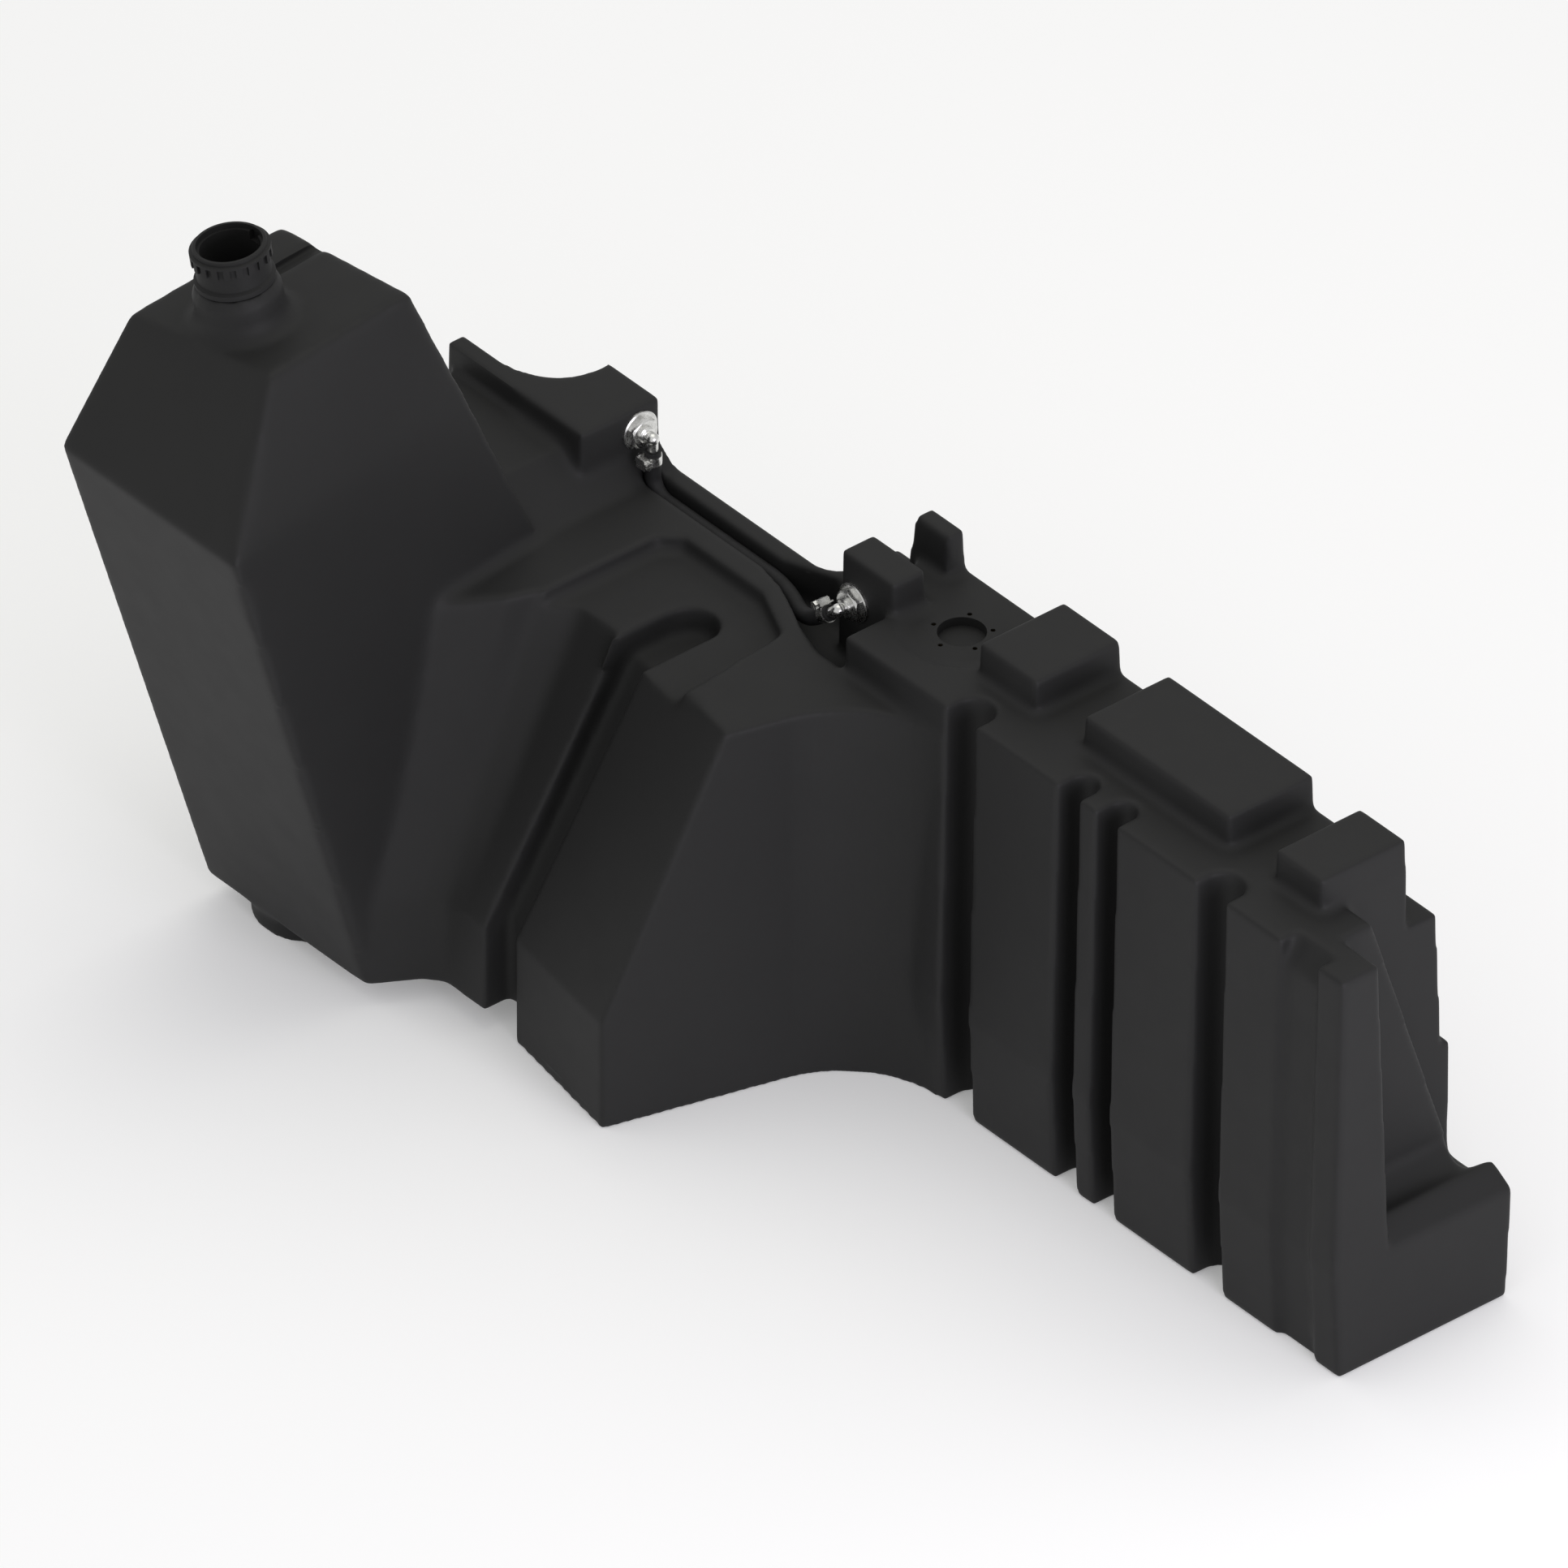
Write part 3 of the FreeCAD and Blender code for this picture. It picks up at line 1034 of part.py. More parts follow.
def hose_points():
    """The hose leaves both elbows straight and lies on the trough's floor between them."""
    shift_x = size("sender_from_end")
    shift_y = size("sender_from_front")
    level = size("trough_floor") + size("hose_radius")
    droop = math.radians(size("deck_leg_angle"))
    reach = size("elbow_reach")
    start = size("hose_start")
    tower_x = shift_x - size("shoulder_right") + reach
    trough_y = size("tower_fitting_y") - shift_y
    deck_x = shift_x - size("deck_fitting_x")
    deck_y = size("block_front") - reach - shift_y
    deck_z = size("deck_fitting_z")
    dip_x = deck_x - (deck_z - level) / math.tan(droop)
    return [Vector(tower_x, trough_y, size("tower_fitting_z") - start), Vector(tower_x, trough_y, level),
            Vector(shift_x - size("hose_turn"), trough_y, level), Vector(dip_x, deck_y, level),
            Vector(deck_x - start * math.cos(droop), deck_y, deck_z - start * math.sin(droop))]


def hose_wire():
    """Straight runs joined by arcs that are tangent to both."""
    points = hose_points()
    edges = []
    here = points[0]
    radii = []
    for before, corner, after in zip(points, points[1:], points[2:]):
        back = (before - corner).normalize()
        ahead = (after - corner).normalize()
        half_turn = (math.pi - back.getAngle(ahead)) / 2
        shorter = min((before - corner).Length, (after - corner).Length)
        leave = 0.45 * shorter
        radius = leave / math.tan(half_turn)
        bisector = (back + ahead).normalize()
        middle_point = corner + bisector * (radius / math.cos(half_turn) - radius)
        first = corner + back * leave
        last = corner + ahead * leave
        edges.append(Part.LineSegment(here, first).toShape())
        edges.append(Part.Arc(first, middle_point, last).toShape())
        radii.append(round(radius, 1))
        here = last
    edges.append(Part.LineSegment(here, points[-1]).toShape())
    return Part.Wire(edges), radii


def vent_hose():
    wire, radii = hose_wire()
    start = wire.OrderedEdges[0]
    direction = start.tangentAt(start.FirstParameter)
    shapes = []
    for radius in (size("hose_radius"), size("hose_bore")):
        ring = Part.Wire([Part.makeCircle(radius, wire.OrderedVertexes[0].Point, direction)])
        shapes.append(wire.makePipeShell([ring], True, True))
    hose = doc.addObject("Part::Feature", "vent_hose")
    hose.Shape = shapes[0].cut(shapes[1])
    area = math.pi * (size("hose_radius") ** 2 - size("hose_bore") ** 2)
    print("hose radii", radii, "length", round(wire.Length, 1),
          "volume error", round(hose.Shape.Volume / (area * wire.Length) - 1, 5))
    return hose


def main():
    fill_sheet()
    boss, boss_core = sump_boss()
    skin = fuse("skin_with_stub", [whole_form("skin", "0"), boss] + neck_stub())
    core = fuse("core_with_boss", [whole_form("core", "wall"), boss_core])
    holes = fuse("holes", [neck_bore(), fitting_hole("tower"), fitting_hole("deck")]
                 + drain_cuts() + insert_cuts())
    shell = cut("tank_shell", cut("hollow_shell", skin, core), holes)
    pieces = [shell, neck_ring(), neck_seal()] + sender_inserts() + drain()
    pieces += vent_fitting("tower") + vent_fitting("deck")
    doc.recompute()
    pieces.append(vent_hose())
    doc.recompute()
    check_document()
    write_parts(pieces)


def check_document():
    faults = [(item.Name, item.State) for item in doc.Objects
              if "Invalid" in item.State or "Error" in item.State]
    if faults:
        raise RuntimeError("faulty objects: %s" % faults)


def write_parts(pieces):
    os.makedirs("parts", exist_ok=True)
    for piece in pieces:
        shape = piece.Shape
        if shape.isNull() or not shape.isValid() or shape.Volume <= 0:
            raise RuntimeError("bad shape: " + piece.Name)
        print(piece.Name, "solids", len(shape.Solids), "volume", round(shape.Volume / 1000, 2))
        shape.exportStep("parts/%s.step" % piece.Label)


main()
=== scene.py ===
import json
import math

import bpy
import numpy as np
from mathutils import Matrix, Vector


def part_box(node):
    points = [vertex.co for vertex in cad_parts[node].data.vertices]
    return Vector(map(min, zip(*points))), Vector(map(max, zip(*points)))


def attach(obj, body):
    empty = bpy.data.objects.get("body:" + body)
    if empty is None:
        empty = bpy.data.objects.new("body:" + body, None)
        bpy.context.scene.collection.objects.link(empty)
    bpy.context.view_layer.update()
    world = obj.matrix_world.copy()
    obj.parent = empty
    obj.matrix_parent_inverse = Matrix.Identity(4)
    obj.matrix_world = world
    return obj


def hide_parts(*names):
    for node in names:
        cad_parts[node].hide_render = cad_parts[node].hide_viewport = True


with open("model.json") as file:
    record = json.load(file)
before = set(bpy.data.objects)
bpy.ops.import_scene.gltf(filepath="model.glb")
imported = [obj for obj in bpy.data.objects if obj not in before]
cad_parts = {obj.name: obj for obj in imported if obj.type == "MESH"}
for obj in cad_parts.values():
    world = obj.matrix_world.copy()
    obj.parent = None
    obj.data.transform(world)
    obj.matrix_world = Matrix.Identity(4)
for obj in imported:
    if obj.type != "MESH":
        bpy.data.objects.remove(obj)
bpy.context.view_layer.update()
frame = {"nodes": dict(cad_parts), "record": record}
nodes = frame["nodes"]
print("frame loaded:", len(nodes), "nodes")

# helpers for objects

def deselectAll():
    if bpy.context.object and bpy.context.object.mode != "OBJECT":
        bpy.ops.object.mode_set(mode="OBJECT")
    bpy.ops.object.select_all(action="DESELECT")


def activate(piece):
    deselectAll()
    piece.select_set(True)
    bpy.context.view_layer.objects.active = piece


def editAll(piece):
    activate(piece)
    bpy.ops.object.mode_set(mode="EDIT")
    bpy.ops.mesh.select_all(action="SELECT")


def editDone():
    bpy.ops.object.mode_set(mode="OBJECT")


def copyOfNode(nodeName, pieceName):
    # a merged copy of a CAD node, free to be shaped
    source = nodes[nodeName]
    piece = source.copy()
    piece.data = source.data.copy()
    piece.name = pieceName
    piece.data.name = pieceName
    piece.parent = None
    bpy.context.scene.collection.objects.link(piece)
    editAll(piece)
    bpy.ops.mesh.remove_doubles(threshold=0.00001)
    bpy.ops.mesh.customdata_custom_splitnormals_clear()
    editDone()
    return piece


def applyModifier(piece, kind, **settings):
    activate(piece)
    modifier = piece.modifiers.new(kind.lower(), kind)
    for name, value in settings.items():
        setattr(modifier, name, value)
    bpy.ops.object.modifier_apply(modifier=modifier.name)


def joinInto(piece, others):
    deselectAll()
    for other in others:
        other.select_set(True)
    piece.select_set(True)
    bpy.context.view_layer.objects.active = piece
    bpy.ops.object.join()


def bakePlace(piece):
    # puts the object's place and turn into its mesh
    activate(piece)
    bpy.ops.object.transform_apply(location=True, rotation=True, scale=True)


def smoothByAngle(piece, degrees):
    activate(piece)
    bpy.ops.object.shade_smooth_by_angle(angle=math.radians(degrees))


def rod(name, radius, start, end, sides=48):
    # plain cylinder between two points
    start, end = Vector(start), Vector(end)
    deselectAll()
    bpy.ops.mesh.primitive_cylinder_add(vertices=sides, radius=radius, depth=(end - start).length,
                                        location=(start + end) / 2,
                                        rotation=(end - start).to_track_quat("Z", "Y").to_euler())
    piece = bpy.context.object
    piece.name = name
    bakePlace(piece)
    return piece


# finishes

def newFinish(name):
    finish = bpy.data.materials.new(name)
    finish.use_nodes = True
    tree = finish.node_tree
    return finish, tree, tree.nodes["Principled BSDF"]


def addNoise(tree, scale, detail=3.0, roughness=0.55):
    coordinates = tree.nodes.new("ShaderNodeTexCoord")
    noise = tree.nodes.new("ShaderNodeTexNoise")
    noise.inputs["Scale"].default_value = scale
    noise.inputs["Detail"].default_value = detail
    noise.inputs["Roughness"].default_value = roughness
    tree.links.new(coordinates.outputs["Object"], noise.inputs["Vector"])
    return noise.outputs["Fac"]


def addRamp(tree, factor, dark, light, stops=(0.3, 0.7)):
    ramp = tree.nodes.new("ShaderNodeValToRGB")
    for element, position, colour in zip(ramp.color_ramp.elements, stops, (dark, light)):
        element.position, element.color = position, colour
    tree.links.new(factor, ramp.inputs["Fac"])
    return ramp.outputs["Color"]


def addBump(tree, shader, factor, depth):
    # depth in metres
    bump = tree.nodes.new("ShaderNodeBump")
    bump.inputs["Strength"].default_value = 1.0
    bump.inputs["Distance"].default_value = depth
    tree.links.new(factor, bump.inputs["Height"])
    tree.links.new(bump.outputs["Normal"], shader.inputs["Normal"])


def grey(value, blue=0.0):
    return (value, value, value + blue, 1.0)


plasticLook = {
    "dark": 0.0170,
    "light": 0.0180,
    "cloudScale": 9.0,
    "roughness": (0.58, 0.61),
    "shineScale": 30.0,
    "specular": 0.2,
    "grain": 0.00005,
    "grainScale": 900.0,
}


def makeMouldedPlastic():
    finish, tree, shader = newFinish("mouldedPlastic")
    cloud = addNoise(tree, plasticLook["cloudScale"], detail=4.0)
    colour = addRamp(tree, cloud, grey(plasticLook["dark"]), grey(plasticLook["light"]))
    tree.links.new(colour, shader.inputs["Base Color"])
    low, high = plasticLook["roughness"]
    shine = addRamp(tree, addNoise(tree, plasticLook["shineScale"], detail=2.0), grey(low), grey(high))
    tree.links.new(shine, shader.inputs["Roughness"])
    shader.inputs["Specular IOR Level"].default_value = plasticLook["specular"]
    addBump(tree, shader, addNoise(tree, plasticLook["grainScale"], detail=2.0), plasticLook["grain"])
    return finish


neckLook = {
    "dark": 0.0145,
    "light": 0.0165,
    "cloudScale": 60.0,
    "roughness": 0.6,
    "specular": 0.2,
    "grain": 0.00003,
    "grainScale": 700.0,
}


def makeNeckPlastic():
    finish, tree, shader = newFinish("neckPlastic")
    cloud = addNoise(tree, neckLook["cloudScale"])
    colour = addRamp(tree, cloud, grey(neckLook["dark"]), grey(neckLook["light"]))
    tree.links.new(colour, shader.inputs["Base Color"])
    shader.inputs["Roughness"].default_value = neckLook["roughness"]
    shader.inputs["Specular IOR Level"].default_value = neckLook["specular"]
    addBump(tree, shader, addNoise(tree, neckLook["grainScale"]), neckLook["grain"])
    return finish


zincLook = {
    "dark": (0.55, 0.55, 0.533, 1.0),
    "light": (0.86, 0.86, 0.843, 1.0),
    "cloudStops": (0.25, 0.75),
    "cloudScale": 160.0,
    "roughness": (0.18, 0.34),
    "shineScale": 420.0,
    "grain": 0.00002,
    "grainScale": 900.0,
}


def makeZincSteel():
    finish, tree, shader = newFinish("zincSteel")
    cloud = addNoise(tree, zincLook["cloudScale"])
    colour = addRamp(tree, cloud, zincLook["dark"], zincLook["light"], zincLook["cloudStops"])
    tree.links.new(colour, shader.inputs["Base Color"])
    low, high = zincLook["roughness"]
    shine = addRamp(tree, addNoise(tree, zincLook["shineScale"]), grey(low), grey(high))
    tree.links.new(shine, shader.inputs["Roughness"])
    shader.inputs["Metallic"].default_value = 1.0
    addBump(tree, shader, addNoise(tree, zincLook["grainScale"]), zincLook["grain"])
    return finish


# brass colours set far below real brass: painted shade, so the blind insert bores read dark as if in shadow
brassShadeLook = {
    "dark": (0.05, 0.036, 0.018, 1.0),
    "light": (0.10, 0.072, 0.032, 1.0),
    "cloudScale": 220.0,
    "roughness": 0.5,
}


# brass finish with painted shade: its darkness stands in for the shade inside the insert bores
def makeBrassPaintedShade():
    finish, tree, shader = newFinish("brassWithPaintedShade")
    cloud = addNoise(tree, brassShadeLook["cloudScale"])
    colour = addRamp(tree, cloud, brassShadeLook["dark"], brassShadeLook["light"])
    tree.links.new(colour, shader.inputs["Base Color"])
    shader.inputs["Metallic"].default_value = 1.0
    shader.inputs["Roughness"].default_value = brassShadeLook["roughness"]
    return finish


rubberLook = {
    "dark": 0.0145,
    "light": 0.0185,
    "blueShift": 0.001,
    "cloudScale": 80.0,
    "roughness": 0.6,
    "specular": 0.18,
    "grain": 0.00003,
    "grainScale": 1200.0,
}


def makeHoseRubber():
    finish, tree, shader = newFinish("hoseRubber")
    cloud = addNoise(tree, rubberLook["cloudScale"])
    light = grey(rubberLook["light"], rubberLook["blueShift"])
    colour = addRamp(tree, cloud, grey(rubberLook["dark"]), light)
    tree.links.new(colour, shader.inputs["Base Color"])
    shader.inputs["Roughness"].default_value = rubberLook["roughness"]
    shader.inputs["Specular IOR Level"].default_value = rubberLook["specular"]
    addBump(tree, shader, addNoise(tree, rubberLook["grainScale"]), rubberLook["grain"])
    return finish


finishes = {
    "moulded_plastic": makeMouldedPlastic(),
    "neck_plastic": makeNeckPlastic(),
    "zinc_steel": makeZincSteel(),
    "brass": makeBrassPaintedShade(),
    "hose_rubber": makeHoseRubber(),
}


def giveFinish(piece, slotName):
    piece.data.materials.clear()
    piece.data.materials.append(finishes[slotName])


def addPiece(piece, slotName, *replaced):
    # hangs a finished piece on the part
    giveFinish(piece, slotName)
    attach(piece, "root")
    if replaced:
        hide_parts(*replaced)


slotOfNode = {part["node"]: part["material_slot"] for part in frame["record"]["subparts"]}
for nodeName, node in nodes.items():
    for index in range(len(node.material_slots)):
        node.material_slots[index].material = finishes[slotOfNode[nodeName]]
print("finishes set on the CAD nodes")

# moulded shell

shellSizes = {
    "voxel": 0.0026,
    "faces": 185000,
    "smoothAngle": 50,
    "weightSteps": 20,        # steps between no softening and all of it
    "allPasses": 12,          # softening of every edge
    "hollowPasses": 45,       # more in every hollow corner
    "hollowProbe": 12,        # passes of the blur that finds the hollow corners
    "hollowSpread": 6,
    "hollowDepth": 0.0006,    # rise at which a corner counts as fully hollow
    "towerPasses": 90,        # still more where the filler tower meets the body
    "neckFoot": (-0.4805, -0.4080, 0.6733),
    "neckAxis": (-0.1079, -0.0930, 0.9898),
    "neckSpared": 0.060,      # radius round the neck that keeps its own round
    "neckFade": 0.02,
}

# level sender in the deck
senderSizes = {
    "recessRadius": 0.02175,
    "recessFloor": 0.407,
    "deckFloor": 0.416,
    "screwCircle": 0.027,
    "screwAngles": (-15.4, 55.1, 125.6, 205.1, 276.1),
    "screwHole": 0.0023,
    "screwFloor": 0.4115,
    "recessToolTop": 0.45,
    "screwToolTop": 0.43,
}

# what closes the ways into the hollow before the remesh
plugSizes = {
    "cupRadius": 0.0335,
    "cupDepth": 0.022,
    "cupRise": 0.012,
    "cupWall": 0.0033,
    "cupFloor": 0.007,
    "fitting": 0.0135,
    "drain": 0.0145,
    "screw": 0.0042,
    "screwEnd": 0.4,
    "recessMargin": 0.001,
    "recessDepth": 0.004,
    "overlap": 0.002,
}

# hollow corners of the filler tower: where they end, and how far that fades
towerHollow = {"endX": -0.33, "endY": -0.10, "foot": 0.04, "top": 0.55, "fade": 0.06, "topFade": 0.08}

# groove across the tower's sloping top
grooveSizes = {"start": (-0.515, -0.353), "size": (0.017, 0.16, 0.04), "depth": 0.0075, "edge": 0.003}

# places that the mould rounds more than the rest: a box, how far it fades out, and its passes
softPlaces = {
    "towerEdges": {"low": (-0.60, -0.70, 0.03), "high": (-0.31, -0.27, 0.76), "fade": 0.03, "passes": 36},
    "towerSide": {"low": (-0.42, -0.485, 0.52), "high": (-0.30, -0.345, 0.59), "fade": 0.05, "passes": 320},
    "shoulderEdges": {"low": (-0.60, -0.11, 0.43), "high": (-0.38, 0.02, 0.47), "fade": 0.02, "passes": 14},
    "endValley": {"low": (0.535, -0.03, 0.10), "high": (0.585, 0.12, 0.132), "fade": 0.02, "passes": 60},
    "wellEnd": {"low": (-0.160, -0.02, 0.345), "high": (-0.115, 0.02, 0.386), "fade": 0.006, "passes": 60},
    "channelTop": {"low": (-0.29, -0.30, 0.33), "high": (-0.20, -0.12, 0.40), "fade": 0.02, "passes": 25},
    "pocketNotch": {"low": (-0.155, -0.245, 0.36), "high": (-0.1, -0.17, 0.39), "fade": 0.012, "passes": 35},
}

# hollow round at the neck's foot
neckFootSizes = {
    "inner": 0.040,
    "outer": 0.057,
    "rise": 0.017,
    "margin": 0.0005,
    "passes": 8,
    "spared": 0.055,          # radius that the places above leave alone
}

# rounds laid into deep corners: two ends and a radius
fillRods = {
    "endValleyOuter": ((0.5700, -0.030, 0.1185), (0.5700, 0.083, 0.1185), 0.012),
    "endValleyInner": ((0.5560, -0.030, 0.1165), (0.5560, 0.083, 0.1165), 0.0105),
    "endValleyTop": ((0.5555, -0.030, 0.1300), (0.5555, 0.083, 0.1300), 0.009),
    "wellWall": ((-0.150, 0.002, 0.356), (-0.119, 0.008, 0.362), 0.020),
    "wellWallTop": ((-0.150, 0.004, 0.367), (-0.119, 0.006, 0.369), 0.016),
}

# thin rims that softening would eat away
thinPlaces = {
    "troughRim": {"low": (-0.395, -0.027, 0.366), "high": (-0.165, 0.030, 0.400), "fade": 0.006},
    "shoulderRim": {"low": (-0.600, -0.110, 0.420), "high": (-0.490, -0.075, 0.470), "fade": 0.020},
}
thinSpared = 0.6    # part of the softening that these rims are spared


def screwPlaces():
    circle = senderSizes["screwCircle"]
    turns = [math.radians(angle) for angle in senderSizes["screwAngles"]]
    return [(circle * math.cos(turn), circle * math.sin(turn)) for turn in turns]


def neckCup():
    # stands in for the neck stub: open at the top, with a closed floor
    foot, axis = Vector(shellSizes["neckFoot"]), Vector(shellSizes["neckAxis"])
    depth = plugSizes["cupDepth"]
    cup = rod("cup", plugSizes["cupRadius"], foot - axis * depth, foot + axis * plugSizes["cupRise"], 64)
    editAll(cup)
    bpy.ops.mesh.select_all(action="DESELECT")
    editDone()
    top = max(cup.data.polygons, key=lambda face: face.center.dot(axis))
    top.select = True
    bpy.ops.object.mode_set(mode="EDIT")
    bpy.ops.mesh.select_mode(type="FACE")
    bpy.ops.mesh.inset(thickness=plugSizes["cupWall"])
    sink = axis * -(depth + plugSizes["cupFloor"])
    bpy.ops.mesh.extrude_region_move(TRANSFORM_OT_translate={"value": sink})
    editDone()
    return cup


def plugsForShell():
    # closes every way into the hollow, so that the outer skin stands alone after the remesh
    towerLow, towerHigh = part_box("tower_insert")
    deckLow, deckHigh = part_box("deck_insert")
    drainLow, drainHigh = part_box("drain_insert")
    tower, deck, drain = (towerLow + towerHigh) / 2, (deckLow + deckHigh) / 2, (drainLow + drainHigh) / 2
    overlap, deckFloor = plugSizes["overlap"], senderSizes["deckFloor"]
    plugs = [
        neckCup(),
        rod("plugTower", plugSizes["fitting"],
            (towerLow.x - overlap, tower.y, tower.z), (towerHigh.x, tower.y, tower.z)),
        rod("plugDeck", plugSizes["fitting"],
            (deck.x, deckHigh.y + overlap, deck.z), (deck.x, deckLow.y, deck.z)),
        rod("plugDrain", plugSizes["drain"],
            (drain.x, drain.y, drainLow.z), (drain.x, drain.y, drainHigh.z + overlap)),
        rod("plugRecess", senderSizes["recessRadius"] + plugSizes["recessMargin"],
            (0, 0, senderSizes["recessFloor"] - plugSizes["recessDepth"]), (0, 0, deckFloor)),
    ]
    for index, (x, y) in enumerate(screwPlaces()):
        start, end = (x, y, plugSizes["screwEnd"]), (x, y, deckFloor)
        plugs.append(rod("plugScrew%d" % index, plugSizes["screw"], start, end))
    for name, (start, end, radius) in fillRods.items():
        plugs.append(rod(name, radius, start, end))
    return plugs


def keepOuterSkin(piece):
    # the remesh gives an outer and an inner skin; only the outer one is seen
    editAll(piece)
    bpy.ops.mesh.separate(type="LOOSE")
    editDone()
    islands = [item for item in bpy.context.selected_objects if item.type == "MESH"]
    islands.sort(key=lambda item: item.dimensions.length, reverse=True)
    for extra in islands[1:]:
        bpy.data.objects.remove(extra, do_unlink=True)
    return islands[0]


def meshArrays(piece):
    mesh = piece.data
    places = np.empty(len(mesh.vertices) * 3)
    normals = np.empty(len(mesh.vertices) * 3)
    ends = np.empty(len(mesh.edges) * 2, dtype=np.int64)
    mesh.vertices.foreach_get("co", places)
    mesh.vertices.foreach_get("normal", normals)
    mesh.edges.foreach_get("vertices", ends)
    return places.reshape(-1, 3), normals.reshape(-1, 3), ends.reshape(-1, 2)


def spread(values, ends, passes):
    # each vertex takes half of its neighbours' mean, several times over
    count = np.bincount(ends.ravel(), minlength=len(values)).astype(float)
    for _ in range(passes):
        total = np.bincount(ends[:, 0], values[ends[:, 1]], len(values))
        total += np.bincount(ends[:, 1], values[ends[:, 0]], len(values))
        values = 0.5 * values + 0.5 * total / count
    return values


def smoothWhere(piece, groupName, weights, passes):
    # softens by each vertex's own weight
    group = piece.vertex_groups.new(name=groupName)
    stepCount = shellSizes["weightSteps"]
    steps = np.round(np.clip(weights, 0, 1) * stepCount).astype(int)
    for step in range(1, stepCount + 1):
        group.add(np.nonzero(steps == step)[0].tolist(), step / stepCount, "REPLACE")
    applyModifier(piece, "SMOOTH", factor=0.5, iterations=passes, vertex_group=groupName)


def boxShare(places, values):
    # 1 inside the box, fading out to 0 around it
    share = np.ones(len(places))
    for axis in range(3):
        share *= np.clip((places[:, axis] - values["low"][axis]) / values["fade"] + 1, 0, 1)
        share *= np.clip((values["high"][axis] - places[:, axis]) / values["fade"] + 1, 0, 1)
    return share


def thinShare(places):
    return np.max([boxShare(places, values) for values in thinPlaces.values()], axis=0)


def fromNeck(places):
    # distance from the neck's axis, and height above the sloping top
    axis = np.array(shellSizes["neckAxis"])
    offsets = places - np.array(shellSizes["neckFoot"])
    heights = offsets @ axis
    return np.linalg.norm(offsets - np.outer(heights, axis), axis=1), heights


def softenEdges(piece):
    places = meshArrays(piece)[0]
    smoothWhere(piece, "edges", 1 - thinSpared * thinShare(places), shellSizes["allPasses"])


def softenHollows(piece):
    # moulded corners: tight radii outside, wide ones inside
    places, normals, ends = meshArrays(piece)
    distances = fromNeck(places)[0]
    probe = shellSizes["hollowProbe"]
    blurred = np.stack([spread(places[:, axis], ends, probe) for axis in range(3)], axis=1)
    rise = np.einsum("ij,ij->i", blurred - places, normals)
    hollow = spread(np.clip(rise / shellSizes["hollowDepth"], 0, 1), ends, shellSizes["hollowSpread"])
    awayFromNeck = np.clip((distances - shellSizes["neckSpared"]) / shellSizes["neckFade"], 0, 1)
    hollow *= (1 - thinShare(places)) * awayFromNeck
    smoothWhere(piece, "hollow", hollow, shellSizes["hollowPasses"])
    x, y, z = places.T
    fade = towerHollow["fade"]
    tower = np.clip((towerHollow["endX"] - x) / fade, 0, 1)
    tower *= np.clip((towerHollow["endY"] - y) / fade, 0, 1)
    tower *= np.clip((z - towerHollow["foot"]) / fade, 0, 1)
    tower *= np.clip((towerHollow["top"] - z) / towerHollow["topFade"], 0, 1)
    smoothWhere(piece, "towerHollow", hollow * tower, shellSizes["towerPasses"])


def softenPlaces(piece):
    places = meshArrays(piece)[0]
    distances = fromNeck(places)[0]
    for name, values in softPlaces.items():
        awayFromNeck = np.clip((distances - neckFootSizes["spared"]) / values["fade"], 0, 1)
        weights = boxShare(places, values) * awayFromNeck * (1 - thinShare(places))
        smoothWhere(piece, name, weights, values["passes"])


def roundNeckFoot(piece):
    # turns the straight skirt into a hollow round that runs out on the sloping top
    places = meshArrays(piece)[0]
    distances, heights = fromNeck(places)
    inner, outer, rise = (neckFootSizes[name] for name in ("inner", "outer", "rise"))
    share = np.clip((outer - distances) / (outer - inner), 0, 1)
    limits = rise * (1 - np.sqrt(1 - share ** 2))
    onSkirt = (distances > inner + neckFootSizes["margin"]) & (distances < outer)
    moved = onSkirt & (heights < rise) & (heights > limits)
    places[moved] += np.outer(limits[moved] - heights[moved], shellSizes["neckAxis"])
    piece.data.vertices.foreach_set("co", places.ravel())
    piece.data.update()
    smoothWhere(piece, "neckFoot", moved.astype(float), neckFootSizes["passes"])


def cutAway(piece, tool):
    applyModifier(piece, "BOOLEAN", operation="DIFFERENCE", object=tool, solver="EXACT")
    bpy.data.objects.remove(tool, do_unlink=True)


def cutRoofGroove(piece):
    # square to the sloping top, like the neck
    foot, axis = Vector(shellSizes["neckFoot"]), Vector(shellSizes["neckAxis"])
    x, y = grooveSizes["start"]
    width, length, height = grooveSizes["size"]
    y += length / 2
    z = foot.z - ((x - foot.x) * axis.x + (y - foot.y) * axis.y) / axis.z
    deselectAll()
    bpy.ops.mesh.primitive_cube_add(size=1,
                                    location=Vector((x, y, z)) + axis * (height / 2 - grooveSizes["depth"]),
                                    rotation=Vector((0, 0, 1)).rotation_difference(axis).to_euler(),
                                    scale=(width, length, height))
    tool = bpy.context.object
    bakePlace(tool)
    applyModifier(tool, "BEVEL", width=grooveSizes["edge"], segments=4)
    cutAway(piece, tool)


def cutSenderHoles(piece):
    # crisp recess and screw holes in the softened deck
    start, end = (0, 0, senderSizes["recessFloor"]), (0, 0, senderSizes["recessToolTop"])
    tool = rod("recessTool", senderSizes["recessRadius"], start, end, 96)
    screws = []
    for index, (x, y) in enumerate(screwPlaces()):
        start, end = (x, y, senderSizes["screwFloor"]), (x, y, senderSizes["screwToolTop"])
        screws.append(rod("screwTool%d" % index, senderSizes["screwHole"], start, end, 24))
    joinInto(tool, screws)
    cutAway(piece, tool)


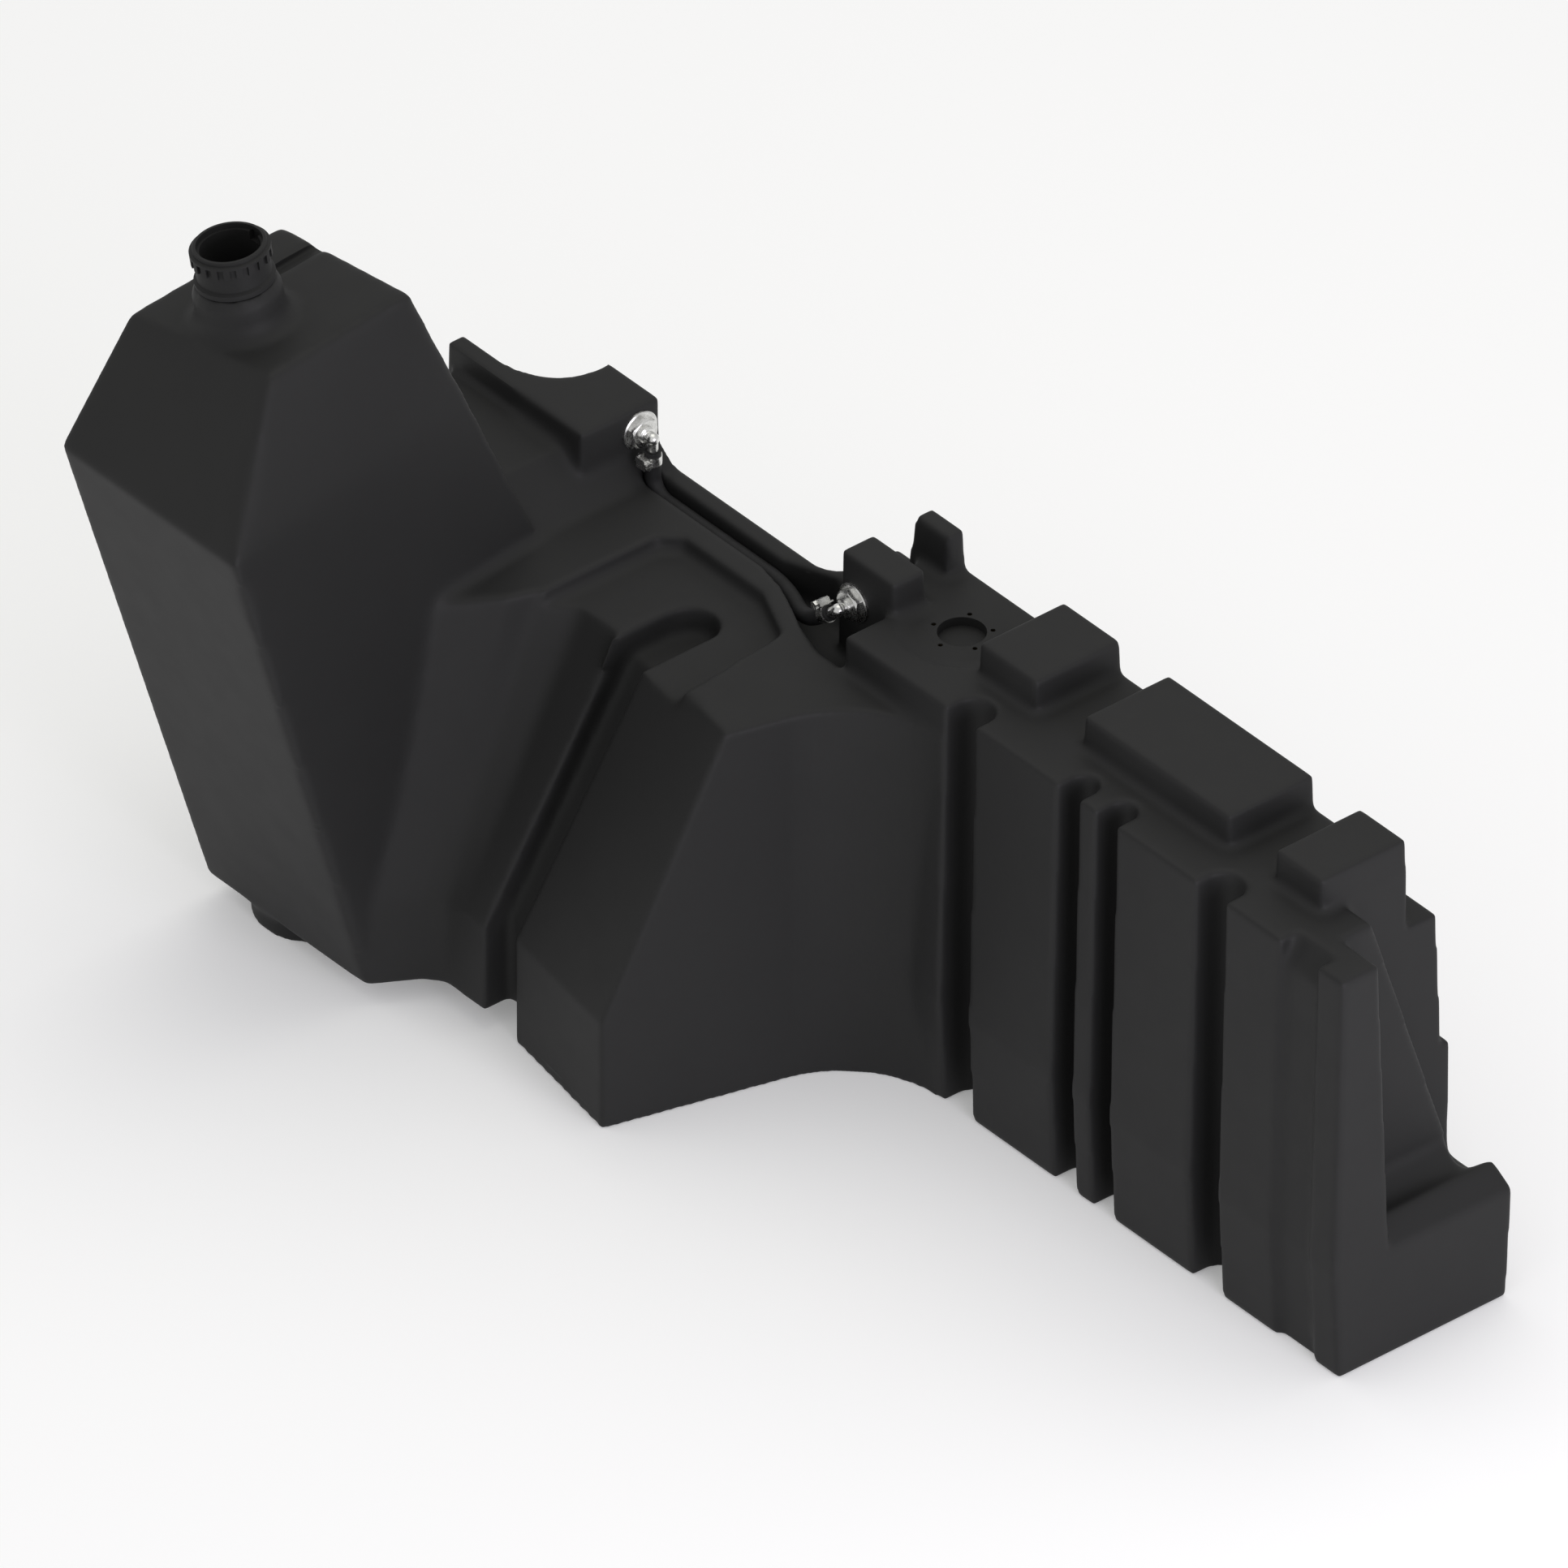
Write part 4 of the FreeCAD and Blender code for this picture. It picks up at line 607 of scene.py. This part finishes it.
def buildShell():
    shell = copyOfNode("tank_shell", "mouldedShell")
    joinInto(shell, plugsForShell())
    shell.data.remesh_voxel_size = shellSizes["voxel"]
    shell.data.use_remesh_preserve_volume = False
    activate(shell)
    bpy.ops.object.voxel_remesh()
    shell = keepOuterSkin(shell)
    shell.name = "mouldedShell"
    print("shell remeshed:", len(shell.data.polygons), "faces")
    softenEdges(shell)
    softenHollows(shell)
    softenPlaces(shell)
    roundNeckFoot(shell)
    applyModifier(shell, "TRIANGULATE")
    ratio = shellSizes["faces"] / len(shell.data.polygons)
    applyModifier(shell, "DECIMATE", ratio=min(ratio, 1.0))
    cutSenderHoles(shell)
    cutRoofGroove(shell)
    smoothByAngle(shell, shellSizes["smoothAngle"])
    shell.vertex_groups.clear()
    addPiece(shell, "moulded_plastic", "tank_shell")
    print("shell finished:", len(shell.data.polygons), "faces")


buildShell()

# floor, light and camera

stageLook = {
    "floorSize": 24,
    "floorColour": 0.86,
    "floorRoughness": 0.9,
    "cameraLift": 0.2,          # how much brighter the floor looks to the camera
    "worldStrength": 0.67,
    "lampAim": (0, -0.1, 0.3),
}


def makeFloor():
    deselectAll()
    bpy.ops.mesh.primitive_plane_add(size=stageLook["floorSize"], location=(0, 0, 0))
    floor = bpy.context.object
    floor.name = "floor"
    paper, tree, shader = newFinish("palePaper")
    value = stageLook["floorColour"]
    shader.inputs["Base Color"].default_value = (value, value, value, 1.0)
    shader.inputs["Roughness"].default_value = stageLook["floorRoughness"]
    shader.inputs["Specular IOR Level"].default_value = 0.0
    lightPath = tree.nodes.new("ShaderNodeLightPath")
    seen = tree.nodes.new("ShaderNodeMath")
    seen.operation = "MULTIPLY"
    seen.inputs[1].default_value = stageLook["cameraLift"]
    both = tree.nodes.new("ShaderNodeMath")
    both.operation = "MAXIMUM"
    tree.links.new(lightPath.outputs["Is Camera Ray"], both.inputs[0])
    tree.links.new(lightPath.outputs["Is Glossy Ray"], both.inputs[1])
    tree.links.new(both.outputs[0], seen.inputs[0])
    shader.inputs["Emission Color"].default_value = (1.0, 1.0, 1.0, 1.0)
    tree.links.new(seen.outputs[0], shader.inputs["Emission Strength"])
    floor.data.materials.append(paper)


def makeWorld():
    world = bpy.data.worlds.new("studio")
    bpy.context.scene.world = world
    world.use_nodes = True
    tree = world.node_tree
    background = tree.nodes["Background"]
    lightPath = tree.nodes.new("ShaderNodeLightPath")
    reach = tree.nodes.new("ShaderNodeMapRange")
    reach.inputs["To Min"].default_value = stageLook["worldStrength"]
    reach.inputs["To Max"].default_value = 1.0
    tree.links.new(lightPath.outputs["Is Camera Ray"], reach.inputs["Value"])
    background.inputs["Color"].default_value = (1.0, 1.0, 1.0, 1.0)
    tree.links.new(reach.outputs["Result"], background.inputs["Strength"])


lamps = {
    "overhead": {"at": (-0.6, 0.4, 3.6), "size": 3.2, "power": 22, "colour": (1.0, 0.99, 0.90)},
    "sideFill": {"at": (3.6, -0.6, 1.2), "size": 2.4, "power": 66, "colour": (0.93, 0.90, 1.0)},
    "leftFill": {"at": (-3.2, -2.2, 0.7), "size": 2.0, "power": 3, "colour": (1.0, 1.0, 0.96)},
}


def makeLamps():
    for name, values in lamps.items():
        light = bpy.data.lights.new(name, "AREA")
        light.shape = "DISK"
        light.size = values["size"]
        light.energy = values["power"]
        light.color = values["colour"]
        lamp = bpy.data.objects.new(name, light)
        bpy.context.scene.collection.objects.link(lamp)
        lamp.location = values["at"]
        aim = Vector(stageLook["lampAim"]) - Vector(values["at"])
        lamp.rotation_euler = aim.to_track_quat("-Z", "Y").to_euler()


cameraValues = {
    "lookAt": (-0.0495, -0.159, 0.300),
    "azimuth": 50.1,
    "elevation": 35.94,
    "frameWidth": 1.355,
    "lens": 1600.0,             # long enough for the photo's parallel view
    "sensor": 36.0,
}


def makeCamera():
    lens = bpy.data.cameras.new("camera")
    camera = bpy.data.objects.new("camera", lens)
    bpy.context.scene.collection.objects.link(camera)
    lens.lens = cameraValues["lens"]
    lens.sensor_width = cameraValues["sensor"]
    distance = cameraValues["frameWidth"] * cameraValues["lens"] / lens.sensor_width
    azimuth, elevation = math.radians(cameraValues["azimuth"]), math.radians(cameraValues["elevation"])
    level = math.cos(elevation)
    back = Vector((math.sin(azimuth) * level, -math.cos(azimuth) * level, math.sin(elevation)))
    camera.location = Vector(cameraValues["lookAt"]) + back * distance
    camera.rotation_euler = (-back).to_track_quat("-Z", "Y").to_euler()
    lens.clip_start, lens.clip_end = 1.0, distance * 2
    bpy.context.scene.camera = camera


makeFloor()
makeWorld()
makeLamps()
makeCamera()
bpy.context.scene.view_settings.view_transform = "Standard"
print("stage ready")
